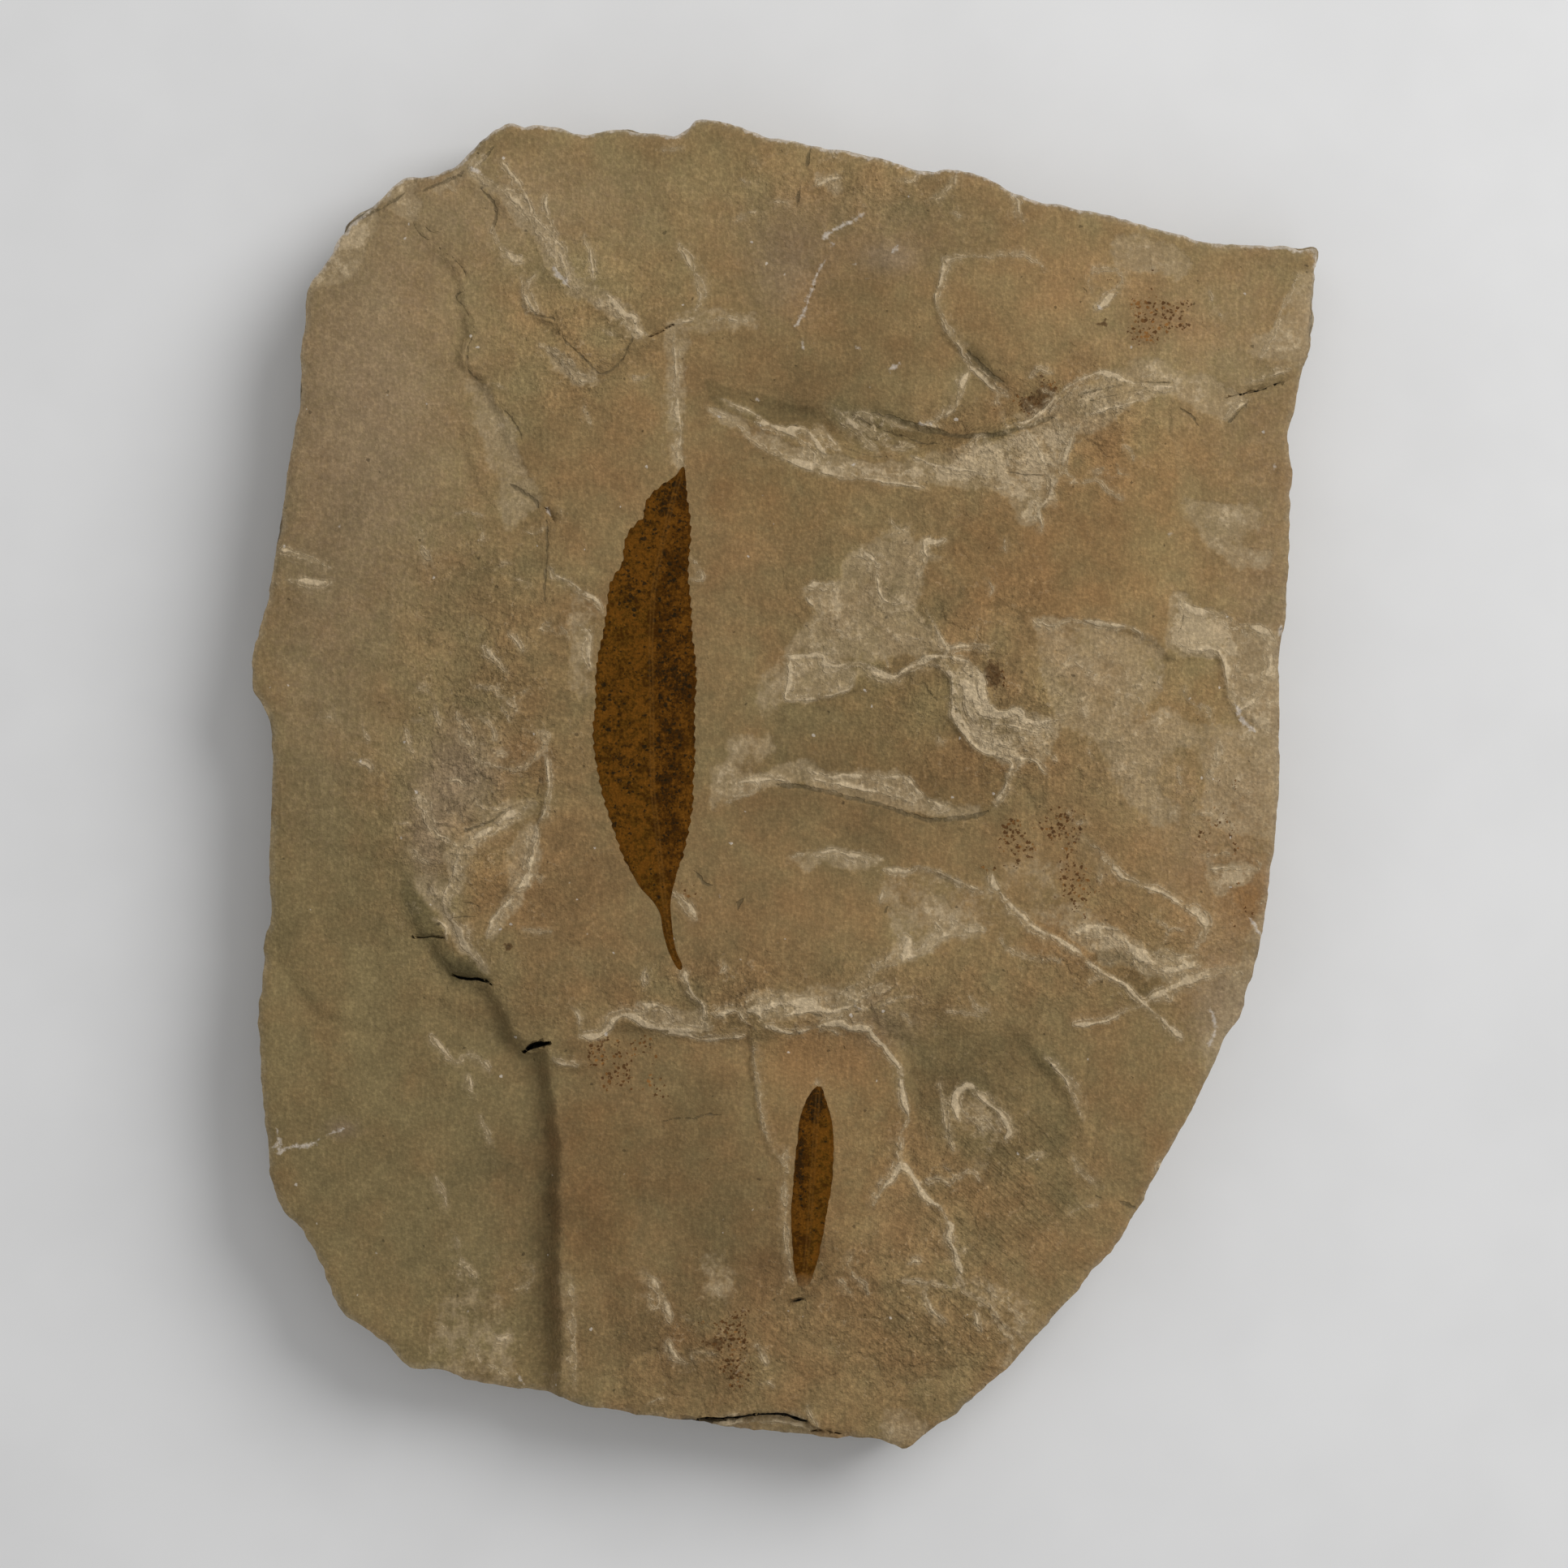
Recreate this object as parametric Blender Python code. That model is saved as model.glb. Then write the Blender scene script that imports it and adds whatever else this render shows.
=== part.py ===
"""Fossil leaf plate: a split slab of shale with two leaf films in its top bedding plane.

The plate lies on its back. +Y runs from the stalk of the big leaf to its tip, +X to the right of it, and
+Z up out of the bedding plane. The origin is under the middle of the plate, on the face that it rests on.
Outlines and ledges are listed in millimetres, and MM turns them into Blender's metres.
"""

import bpy
import numpy as np
from mathutils import Vector
from mathutils.geometry import delaunay_2d_cdt

MM = 0.001

# Driving dimensions, in millimetres
PLATE_HEIGHT = 13.0
EDGE_SPACING = 2.1
FACE_SPACING = 4.4
UNDERSIDE_SPACING = 11.0
LEDGE_SPACING = 2.4
FILM_THICKNESS = 0.4
FILM_GAP = 0.3
IMPRINT_WALL = 0.06
LARGE_TOOTH_PITCH = 2.6
LARGE_TOOTH_DEPTH = 0.35
SMALL_LEAF_SPACING = 1.6

SHALE_COLOUR = (0.30, 0.22, 0.13, 1.0)
LARGE_FILM_COLOUR = (0.115, 0.055, 0.018, 1.0)
SMALL_FILM_COLOUR = (0.10, 0.045, 0.016, 1.0)

# The broken outline of the slab, clockwise from its left side, as the corners and bends of one smooth line
OUTLINE = [
    (-61.5, 40.0), (-60.6, 45.0), (-60.0, 51.0), (-59.8, 56.0), (-59.3, 60.6), (-58.3, 62.8), (-56.5, 65.3),
    (-55.2, 68.0), (-53.8, 70.2), (-51.0, 72.2), (-47.6, 75.1), (-44.5, 75.4), (-41.4, 76.1), (-39.4, 77.7),
    (-37.6, 79.7), (-35.3, 81.4), (-33.6, 81.8), (-32.0, 81.4), (-30.4, 81.7), (-27.4, 81.2), (-25.8, 80.5),
    (-23.0, 80.9), (-20.4, 81.2), (-16.0, 80.6), (-13.6, 80.3), (-12.0, 81.0), (-10.9, 82.1), (-9.4, 82.4),
    (-6.4, 81.8), (-3.4, 80.6), (0.5, 79.8), (5.0, 78.8), (9.0, 78.2), (13.0, 77.2), (17.4, 76.2),
    (21.4, 76.1), (25.0, 75.1), (28.0, 73.5), (31.0, 72.4), (35.0, 71.5), (40.0, 70.6), (44.0, 69.5),
    (49.0, 68.0), (52.6, 67.1), (57.0, 66.9), (62.0, 66.9), (63.6, 66.5), (66.0, 66.3), (66.0, 62.5),
    (65.6, 57.5), (65.2, 53.2), (64.0, 49.8), (63.1, 46.0), (62.5, 42.8), (62.8, 38.0), (62.6, 32.5),
    (62.5, 26.5), (62.1, 21.5), (61.4, 17.0), (61.4, 9.5), (61.3, 1.5), (60.9, -5.0), (60.2, -11.0),
    (59.5, -17.0), (58.1, -23.2), (56.6, -28.0), (54.6, -31.8), (52.8, -35.8), (50.0, -41.3), (46.9, -46.8),
    (44.2, -51.8), (41.0, -56.9), (36.8, -62.0), (32.4, -67.1), (28.2, -71.5), (23.2, -76.2), (18.2, -80.2),
    (15.9, -81.9), (14.7, -82.4), (13.3, -81.7), (10.8, -81.0), (5.0, -80.9), (-1.0, -80.4), (-6.4, -79.9),
    (-10.4, -79.1), (-14.8, -78.4), (-20.4, -77.7), (-25.2, -76.9), (-28.4, -75.8), (-33.5, -75.0),
    (-38.8, -74.2), (-40.8, -73.2), (-42.6, -72.5), (-45.4, -72.6), (-47.1, -71.7), (-49.3, -69.4),
    (-52.6, -66.8), (-55.0, -65.2), (-56.7, -62.0), (-57.6, -59.5), (-59.7, -55.3), (-61.7, -53.6),
    (-63.0, -51.5), (-63.9, -48.0), (-64.3, -43.0), (-64.9, -37.0), (-65.3, -31.0), (-65.4, -27.2),
    (-64.8, -24.8), (-64.7, -20.4), (-63.9, -17.2), (-63.8, -14.6), (-64.1, -12.2), (-63.8, -5.0),
    (-63.6, 2.0), (-63.7, 7.0), (-64.8, 9.7), (-66.0, 12.2), (-66.0, 16.2), (-65.0, 19.9), (-63.9, 23.6),
    (-63.2, 28.0), (-62.4, 33.5),
]

# Ledges of the top face. Each falls to one side of its line, by drops that run along it, and the lower
# surface climbs back to the bedding plane over the fade. Sides are those of someone walking the line.
LEDGES = {
    "left_scarp": {
        "line": [
            (-48.6, -9.0), (-47.6, -12.0), (-45.2, -15.5), (-43.2, -18.8), (-40.3, -22.2), (-36.4, -24.4),
            (-34.0, -28.3), (-32.2, -31.9), (-29.3, -32.2), (-28.8, -36.0), (-27.8, -43.0), (-27.5, -54.0),
            (-27.4, -67.0), (-27.4, -78.0),
        ],
        "drops": [0.0, 0.9, 1.7, 2.3, 2.6, 2.9, 3.0], "width": 0.7, "fade": 36.0, "low_side": "right",
    },
    "left_ledge": {
        "line": [
            (-44.5, 73.5), (-45.2, 69.5), (-41.5, 65.2), (-39.4, 62.0), (-39.6, 59.5), (-38.4, 56.2),
            (-39.2, 52.6), (-36.6, 49.2), (-34.0, 44.2), (-31.6, 38.5), (-29.4, 33.5),
        ],
        "drops": [0.0, 0.5, 0.7, 0.6, 0.4, 0.0], "width": 0.6, "fade": 20.0, "low_side": "right",
    },
    "top_ledge": {
        "line": [
            (-39.5, 77.0), (-37.5, 75.0), (-34.6, 73.2), (-31.8, 70.8), (-29.3, 68.0), (-27.2, 63.4),
            (-23.6, 60.9), (-20.6, 58.9), (-17.6, 55.3), (-14.2, 56.8), (-9.5, 56.8), (-4.6, 57.3),
        ],
        "drops": [0.4, 0.8, 0.8, 0.6, 0.4, 0.0], "width": 1.2, "fade": 16.0, "low_side": "right",
    },
    "hollow_rim": {
        "line": [
            (-10.6, 49.6), (-7.5, 46.5), (-2.5, 44.4), (2.6, 43.4), (4.6, 41.6), (10.0, 40.4), (17.0, 40.8),
            (22.0, 42.4), (30.5, 44.0), (36.5, 46.6), (44.0, 49.6), (51.0, 49.6),
        ],
        "drops": [0.0, 1.2, 1.8, 1.9, 1.4, 0.7, 0.0], "width": 2.2, "fade": 24.0, "low_side": "left",
    },
    "stack_ledge": {
        "line": [
            (-28.6, -33.6), (-25.0, -34.4), (-22.0, -29.6), (-16.0, -29.6), (-9.0, -30.6), (-3.4, -30.4),
            (1.0, -29.8), (6.3, -29.6), (10.4, -30.4),
        ],
        "drops": [0.3, 0.8, 0.8, 0.9, 0.6], "width": 0.6, "fade": 40.0, "low_side": "right",
    },
    "tongue_edge": {
        "line": [
            (9.4, -27.6), (10.6, -30.4), (14.4, -34.5), (15.1, -40.0), (14.3, -46.6), (17.2, -51.2),
            (19.4, -51.8), (21.0, -56.0), (22.4, -61.5),
        ],
        "drops": [0.5, 1.1, 1.0, 0.8, 0.6, 0.0], "width": 0.6, "fade": 18.0, "low_side": "left",
    },
    "basin_east": {
        "line": [
            (26.5, -28.5), (30.5, -32.0), (33.4, -35.6), (35.4, -38.8), (36.8, -42.4),
        ],
        "drops": [0.0, 0.5, 0.6, 0.4, 0.0], "width": 1.6, "fade": 16.0, "low_side": "right",
    },
    "corner_bevel": {
        "line": [
            (-54.5, 66.0), (-50.4, 70.2), (-46.4, 71.2), (-41.5, 74.3), (-38.2, 77.0), (-35.4, 80.2),
        ],
        "drops": [0.0, 1.2, 1.4, 1.2, 0.0], "width": 3.0, "fade": 60.0, "low_side": "left",
    },
    "bottom_lip": {
        "line": [
            (-14.5, -78.8), (-8.0, -78.2), (-2.0, -77.6), (2.8, -78.7), (6.0, -80.0), (9.6, -81.4),
        ],
        "drops": [0.0, 1.4, 1.8, 1.4, 0.5, 0.0], "width": 0.3, "fade": 60.0, "low_side": "right",
    },
}

# Scars of the top face: whole flakes that are gone, each a closed line with a flat floor this deep
SCARS = {
    "pocket": {
        "line": [
            (-3.4, 3.0), (0.3, 9.8), (7.3, 11.2), (9.6, 15.0), (14.0, 13.8), (17.6, 15.9), (20.3, 13.0),
            (20.7, 8.0), (23.4, 4.4), (27.3, 2.4), (25.8, -2.2), (20.5, -4.0), (11.5, -2.6), (3.0, -0.2),
        ],
        "depth": 0.8, "width": 0.5,
    },
}

# The underside: a flat bedding plane, with its lowest sheet gone beyond this line
UNDERSIDE_SCAR = [(20.0, 84.0), (24.0, 62.0), (34.0, 47.0), (47.0, 40.0), (70.0, 33.0)]
UNDERSIDE_STEP = 1.4

# How the side wall leans in or out below the top edge: (share of the height, distance out of the top edge)
WALL_RINGS = [(0.90, 0.45), (0.66, 0.15), (0.38, 0.5), (0.12, 0.1), (0.0, -0.9)]
TOP_EDGE_INSET = 0.5

# Margins of the leaves, without their teeth: right side from the tip down, then the left side back up
LARGE_LEAF = [
    (-12.6, 39.4), (-12.0, 36.0), (-11.9, 30.0), (-11.6, 23.0), (-11.0, 16.0), (-10.9, 9.0), (-11.1, 2.0),
    (-11.5, -4.0), (-12.6, -8.5), (-13.8, -12.4), (-14.1, -15.0), (-13.7, -18.5), (-12.7, -22.4),
    (-13.2, -22.9), (-14.4, -20.5), (-15.2, -17.0), (-15.8, -14.8), (-17.8, -11.6), (-20.0, -8.0),
    (-21.6, -3.0), (-22.9, 2.0), (-23.5, 8.0), (-23.1, 15.0), (-22.1, 21.0), (-20.6, 27.0), (-18.8, 31.6),
    (-16.9, 35.6), (-14.4, 38.0),
]
SMALL_LEAF = [
    (4.1, -37.2), (5.3, -39.0), (6.05, -42.5), (5.8, -47.0), (5.2, -52.0), (4.5, -56.0), (3.5, -60.0),
    (2.7, -61.8), (1.5, -61.9), (1.0, -59.5), (0.85, -54.5), (1.2, -49.0), (1.9, -44.0), (2.5, -39.8),
    (3.3, -38.0),
]
STALK_TOP = -13.0


def smooth_line(points, spacing, closed):
    """Points at an even spacing along the Catmull-Rom curve through the given ones."""
    knots = np.array(points, float)
    if closed:
        padded = np.vstack([knots[-1:], knots, knots[:2]])
    else:
        padded = np.vstack([2 * knots[0] - knots[1], knots, 2 * knots[-1] - knots[-2]])
    steps = np.linspace(0.0, 1.0, 24, endpoint=False)[:, None]
    dense = []
    for before, start, end, after in zip(padded, padded[1:], padded[2:], padded[3:]):
        dense.append(0.5 * (
            2 * start + (end - before) * steps + (2 * before - 5 * start + 4 * end - after) * steps**2
            + (3 * start - before - 3 * end + after) * steps**3
        ))
    dense = np.vstack(dense + [padded[-2][None]])
    along = np.concatenate([[0.0], np.cumsum(np.linalg.norm(np.diff(dense, axis=0), axis=1))])
    count = max(2, round(along[-1] / spacing))
    wanted = np.linspace(0.0, along[-1], count + 1)
    if closed:
        wanted = wanted[:-1]
    return np.column_stack([np.interp(wanted, along, dense[:, axis]) for axis in (0, 1)])


def nearest_on_line(places, line):
    """Distance to the line, positive on its left side, and how far along the line the nearest point is, 0 to 1."""
    starts, spans = line[:-1], np.diff(line, axis=0)
    lengths = np.linalg.norm(spans, axis=1)
    run = np.concatenate([[0.0], np.cumsum(lengths)])
    best = np.full(len(places), np.inf)
    signed = np.zeros(len(places))
    share = np.zeros(len(places))
    for index, (start, span, length) in enumerate(zip(starts, spans, lengths)):
        offset = places - start
        t = np.clip(offset @ span / length**2, 0.0, 1.0)
        gap = offset - t[:, None] * span
        distance = np.hypot(gap[:, 0], gap[:, 1])
        side = np.sign(span[0] * offset[:, 1] - span[1] * offset[:, 0])
        closer = distance < best - 1e-9
        best = np.where(closer, distance, best)
        signed = np.where(closer, distance * np.where(side == 0, 1, side), signed)
        share = np.where(closer, (run[index] + t * length) / run[-1], share)
    return signed, share


def smoothstep(value):
    """0 below 0, 1 above 1, and a soft ramp between."""
    value = np.clip(value, 0.0, 1.0)
    return value * value * (3 - 2 * value)


def inside(places, ring):
    """Which places are inside a closed line."""
    within = np.zeros(len(places), bool)
    for (x0, y0), (x1, y1) in zip(ring, np.roll(ring, -1, axis=0)):
        crosses = (y0 > places[:, 1]) != (y1 > places[:, 1])
        rise = y1 - y0 if y1 != y0 else 1e-12
        within ^= crosses & (places[:, 0] < (x1 - x0) * (places[:, 1] - y0) / rise + x0)
    return within


def depth_inside(places, ring):
    """Distance to a closed line, positive inside it."""
    distance, _ = nearest_on_line(places, np.vstack([ring, ring[:1]]))
    return np.where(inside(places, ring), np.abs(distance), -np.abs(distance))


def ledge_height(places, ledge):
    """How far a ledge lowers each place."""
    line = smooth_line(ledge["line"], LEDGE_SPACING, closed=False)
    signed, share = nearest_on_line(places, line)
    below = signed if ledge["low_side"] == "left" else -signed
    drop = np.interp(share, np.linspace(0.0, 1.0, len(ledge["drops"])), ledge["drops"])
    climb = np.clip((below - ledge["width"]) / ledge["fade"], 0.0, 1.0)
    return -drop * smoothstep(below / ledge["width"]) * (1 - climb) ** 2


def plate_top(places):
    """Height of the top face over the resting face, without the imprints."""
    height = np.full(len(places), PLATE_HEIGHT)
    for ledge in LEDGES.values():
        height += ledge_height(places, ledge)
    for scar in SCARS.values():
        ring = smooth_line(scar["line"], LEDGE_SPACING, closed=True)
        height -= scar["depth"] * smoothstep(depth_inside(places, ring) / scar["width"])
    return height


def grown(ring, distance):
    """A closed line moved out of itself, or into itself if the distance is negative."""
    along = np.roll(ring, -1, axis=0) - np.roll(ring, 1, axis=0)
    normal = np.column_stack([along[:, 1], -along[:, 0]])
    normal /= np.linalg.norm(normal, axis=1)[:, None]
    area = np.sum(ring[:, 0] * np.roll(ring[:, 1], -1) - np.roll(ring[:, 0], -1) * ring[:, 1])
    return ring + normal * distance * np.sign(area)


def triangulated(rings, lines, loose):
    """Delaunay triangles inside the first ring, with every ring and line kept as edges."""
    points, edges = [], []
    for ring in rings:
        first = len(points)
        points += [Vector(place) for place in ring]
        edges += [(first + i, first + (i + 1) % len(ring)) for i in range(len(ring))]
    for line in lines:
        first = len(points)
        points += [Vector(place) for place in line]
        edges += [(first + i, first + i + 1) for i in range(len(line) - 1)]
    points += [Vector(place) for place in loose]
    found, _, faces, *_ = delaunay_2d_cdt(points, edges, [], 1, 1e-4)
    places = np.array([tuple(point) for point in found])
    used = sorted({corner for face in faces for corner in face})
    renumbered = {old: new for new, old in enumerate(used)}
    return places[used], [tuple(renumbered[corner] for corner in face) for face in faces]


def border_of(faces):
    """The vertices along the open border of a flat mesh, in the order in which its faces turn."""
    sides = {(a, b) for face in faces for a, b in zip(face, face[1:] + face[:1])}
    following = {a: b for a, b in sides if (b, a) not in sides}
    start = min(following)
    loop = [start]
    while following[loop[-1]] != start:
        loop.append(following[loop[-1]])
    return loop


def filling(ring, spacing, clear):
    """A loose triangular lattice inside a ring, no nearer to its line than the clear distance."""
    low, high = ring.min(axis=0), ring.max(axis=0)
    rows = np.arange(low[1], high[1], spacing * 0.866)
    places = np.array([
        (x + (row % 2) * spacing / 2, y) for row, y in enumerate(rows) for x in np.arange(low[0], high[0], spacing)
    ])
    return places[depth_inside(places, ring) > clear]


def clear_of(places, lines, clear):
    """The places that keep a distance to every line."""
    for line in lines:
        distance, _ = nearest_on_line(places, line)
        places = places[np.abs(distance) > clear]
    return places


def ledge_lines(top_ring):
    """The top edge and the foot of every ledge, cut off where they would leave the plate."""
    lines = []
    for ledge in LEDGES.values():
        edge = smooth_line(ledge["line"], LEDGE_SPACING, closed=False)
        along = np.gradient(edge, axis=0)
        left = np.column_stack([-along[:, 1], along[:, 0]]) / np.linalg.norm(along, axis=1)[:, None]
        turn = 1 if ledge["low_side"] == "left" else -1
        for line in (edge, edge + left * turn * ledge["width"]):
            kept = line[depth_inside(line, top_ring) > 0.8]
            if len(kept) > 1:
                lines.append(kept)
    return lines


def mesh_object(name, points, faces, colour):
    """A named object from places in millimetres, with a plain material of its own."""
    mesh = bpy.data.meshes.new(name)
    mesh.from_pydata([tuple(point) for point in np.asarray(points) * MM], [], faces)
    mesh.validate()
    mesh.update()
    material = bpy.data.materials.new(name)
    material.use_nodes = True
    shader = material.node_tree.nodes["Principled BSDF"]
    shader.inputs["Base Color"].default_value = colour
    shader.inputs["Roughness"].default_value = 0.85
    shader.inputs["Metallic"].default_value = 0.0
    mesh.materials.append(material)
    made = bpy.data.objects.new(name, mesh)
    bpy.context.scene.collection.objects.link(made)
    return made


def underside(places):
    """Height of the lower face: flat, and higher where its lowest sheet is gone."""
    signed, _ = nearest_on_line(places, smooth_line(UNDERSIDE_SCAR, LEDGE_SPACING, closed=False))
    return UNDERSIDE_STEP * smoothstep(signed / 0.8)


def imprints():
    """The closed line of each leaf's imprint, a little wider than the leaf."""
    clear = FILM_GAP + IMPRINT_WALL
    large = smooth_line(LARGE_LEAF, LARGE_TOOTH_PITCH / 2, closed=True)
    small = smooth_line(SMALL_LEAF, SMALL_LEAF_SPACING, closed=True)
    return [grown(large, clear + LARGE_TOOTH_DEPTH * 0.4), grown(small, clear)]


def shale_slab():
    """The slab: its top face with ledges, scars and imprints, its broken side wall and its underside."""
    outline = smooth_line(OUTLINE, EDGE_SPACING, closed=True)
    top_ring = grown(outline, -TOP_EDGE_INSET)
    leaf_rings = imprints()
    leaf_floors = [grown(ring, -IMPRINT_WALL) for ring in leaf_rings]
    scar_rings = [smooth_line(scar["line"], LEDGE_SPACING, closed=True) for scar in SCARS.values()]
    scar_floors = [grown(ring, -scar["width"]) for ring, scar in zip(scar_rings, SCARS.values())]
    lines = ledge_lines(top_ring)
    rings = leaf_rings + leaf_floors + scar_rings + scar_floors
    closed_lines = [np.vstack([ring, ring[:1]]) for ring in rings]
    loose = clear_of(filling(top_ring, FACE_SPACING, 1.6), lines + closed_lines, 1.5)
    places, faces = triangulated([top_ring] + rings, lines, loose)
    height = plate_top(places)
    for floor in leaf_floors:
        sunk = depth_inside(places, floor) > -IMPRINT_WALL / 2
        height = np.where(sunk, height - FILM_THICKNESS - FILM_GAP, height)

    border = border_of(faces)
    top_border = places[border]
    points = [np.column_stack([places, height])]
    walls, count = [], len(border)
    previous = np.array(border)
    for share, out in WALL_RINGS:
        ring = grown(top_border, out)
        low = underside(ring)
        ring_height = low + (height[border] - low) * share
        current = sum(len(part) for part in points) + np.arange(count)
        points.append(np.column_stack([ring, ring_height]))
        following = np.roll(np.arange(count), -1)
        walls += [
            (previous[i], current[i], current[j], previous[j]) for i, j in zip(range(count), following)
        ]
        previous = current
    foot_ring = points[-1][:, :2]
    scar_line = smooth_line(UNDERSIDE_SCAR, LEDGE_SPACING, closed=False)
    foot_lines = [line[depth_inside(line, foot_ring) > 1.0] for line in (scar_line, scar_line + [0.57, 0.57])]
    foot_loose = clear_of(filling(foot_ring, UNDERSIDE_SPACING, 5.0), foot_lines, 3.0)
    below, below_faces = triangulated([foot_ring], foot_lines, foot_loose)
    first = sum(len(part) for part in points)
    points.append(np.column_stack([below, underside(below)]))

    # The underside shares the last ring of the wall, so its own copies of those corners are dropped.
    shared = {}
    for index, place in enumerate(below):
        gap = np.hypot(*(foot_ring - place).T)
        if gap.min() < 1e-3:
            shared[first + index] = int(previous[gap.argmin()])
    floor = [tuple(shared.get(first + c, first + c) for c in reversed(face)) for face in below_faces]
    all_points = np.vstack(points)
    all_faces = [tuple(int(c) for c in face) for face in faces + walls + floor]
    used = sorted({corner for face in all_faces for corner in face})
    renumbered = {old: new for new, old in enumerate(used)}
    all_faces = [tuple(renumbered[c] for c in face) for face in all_faces]
    return mesh_object("shale_slab", all_points[used], all_faces, SHALE_COLOUR)


def toothed(margin, pitch, depth, stalk_top):
    """The margin with forward-pointing teeth above the stalk: one outer and one inner corner to each tooth."""
    ring = smooth_line(margin, pitch / 2, closed=True)
    outer = grown(ring, depth * 0.4)
    inner = grown(ring, -depth * 0.6)
    toothy = (np.arange(len(ring)) % 2 == 0) & (ring[:, 1] > stalk_top)
    plain = ring[:, 1] <= stalk_top
    return np.where(plain[:, None], ring, np.where(toothy[:, None], outer, inner))


def leaf_film(name, margin, spacing, colour):
    """A thin film flush with the bedding plane, lying over the floor of its imprint."""
    loose = filling(margin, spacing, spacing * 0.4)
    places, faces = triangulated([margin], [], loose)
    surface = plate_top(places)
    count = len(places)
    points = np.vstack([
        np.column_stack([places, surface]), np.column_stack([places, surface - FILM_THICKNESS])
    ])
    border = border_of(faces)
    rim = [(a, a + count, b + count, b) for a, b in zip(border, border[1:] + border[:1])]
    lower = [tuple(c + count for c in reversed(face)) for face in faces]
    return mesh_object(name, points, faces + rim + lower, colour)


def main():
    for leftover in list(bpy.data.objects):
        bpy.data.objects.remove(leftover)
    shale_slab()
    large = toothed(LARGE_LEAF, LARGE_TOOTH_PITCH, LARGE_TOOTH_DEPTH, STALK_TOP)
    leaf_film("large_leaf_film", large, 3.4, LARGE_FILM_COLOUR)
    leaf_film("small_leaf_film", smooth_line(SMALL_LEAF, SMALL_LEAF_SPACING, closed=True), 2.0, SMALL_FILM_COLOUR)


main()
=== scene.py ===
# %% [markdown]
# # A fossil leaf plate
# The object is a split slab of brown lake shale with two leaves in it. The rock broke along a bedding
# plane, and each leaf was left there as a film of carbon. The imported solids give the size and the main
# ledges. This script lays a much finer skin over them, with the same outline and the same ledges, and
# paints it with procedural materials. All lists below are in millimetres, seen from above.

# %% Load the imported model
from math import radians
import bpy
import numpy as np
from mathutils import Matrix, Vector, kdtree, noise
from mathutils.geometry import delaunay_2d_cdt


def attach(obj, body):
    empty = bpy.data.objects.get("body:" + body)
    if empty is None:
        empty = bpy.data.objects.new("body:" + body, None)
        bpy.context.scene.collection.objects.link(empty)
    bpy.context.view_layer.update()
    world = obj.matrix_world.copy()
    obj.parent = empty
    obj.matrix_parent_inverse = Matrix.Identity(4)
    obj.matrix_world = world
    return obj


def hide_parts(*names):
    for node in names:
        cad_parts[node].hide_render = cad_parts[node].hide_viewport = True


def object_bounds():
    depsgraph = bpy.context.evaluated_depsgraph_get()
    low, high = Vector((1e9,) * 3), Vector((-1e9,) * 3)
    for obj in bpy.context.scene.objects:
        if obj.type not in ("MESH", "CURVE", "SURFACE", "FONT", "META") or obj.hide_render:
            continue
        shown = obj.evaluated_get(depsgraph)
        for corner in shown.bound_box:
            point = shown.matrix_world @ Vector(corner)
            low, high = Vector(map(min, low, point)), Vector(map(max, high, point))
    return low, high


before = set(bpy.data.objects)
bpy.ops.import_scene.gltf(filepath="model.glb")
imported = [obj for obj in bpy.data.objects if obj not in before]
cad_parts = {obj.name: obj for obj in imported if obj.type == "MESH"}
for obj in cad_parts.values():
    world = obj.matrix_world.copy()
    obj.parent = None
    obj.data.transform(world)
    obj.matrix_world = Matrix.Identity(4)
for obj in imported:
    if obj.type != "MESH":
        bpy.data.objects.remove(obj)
cad_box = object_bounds()
MM = 0.001
print("nodes:", sorted(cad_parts), "box:", cad_box)

# %% [markdown]
# ## Lines on the rock
# Nearly everything on the plate is a line: the broken outline, the edges of the thin sheets that have
# flaked off, cracks and scratches. A handful of points, joined by a smooth curve and roughened by noise,
# looks broken in the way that shale is. The distance from each place to such a line then drives both the
# height of the rock and its colour, so relief and stain always agree. Blender takes the start of its vector
# noise from the clock, so a seed is set first: without it, no two runs would make quite the same lines.

# %% Curves through a few points
def points_in(text):
    return [tuple(float(value) for value in pair.split(",")) for pair in text.split()]


def marks_in(text):
    """A mark to a line: its numbers, then its points. An indented line goes on with the mark above it."""
    marks = []
    for row in text.replace("\n    ", " ").split("\n")[1:-1]:
        numbers = [float(word) for word in row.split() if "," not in word]
        marks.append((*numbers, points_in(" ".join(row.split()[len(numbers):]))))
    return marks


def smooth_line(points, spacing, closed=False):
    knots = np.array(points, float)
    if closed:
        padded = np.vstack([knots[-1:], knots, knots[:2]])
    else:
        padded = np.vstack([2 * knots[0] - knots[1], knots, 2 * knots[-1] - knots[-2]])
    steps = np.linspace(0.0, 1.0, 24, endpoint=False)[:, None]
    dense = [
        0.5 * (2 * b + (c - a) * steps + (2 * a - 5 * b + 4 * c - d) * steps**2
               + (3 * b - a - 3 * c + d) * steps**3)
        for a, b, c, d in zip(padded, padded[1:], padded[2:], padded[3:])
    ]
    dense = np.vstack(dense + [padded[-2][None]])
    along = np.concatenate([[0.0], np.cumsum(np.linalg.norm(np.diff(dense, axis=0), axis=1))])
    wanted = np.linspace(0.0, along[-1], max(2, round(along[-1] / spacing)) + 1)
    if closed:
        wanted = wanted[:-1]
    return np.column_stack([np.interp(wanted, along, dense[:, axis]) for axis in (0, 1)])


noise.seed_set(12)


def broken(line, amount, size, seed):
    """The line pushed about by noise, as a snapped edge of rock is."""
    return np.array([
        place + amount * np.array(noise.noise_vector((place[0] / size, place[1] / size, seed)))[:2]
        for place in line
    ])


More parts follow.
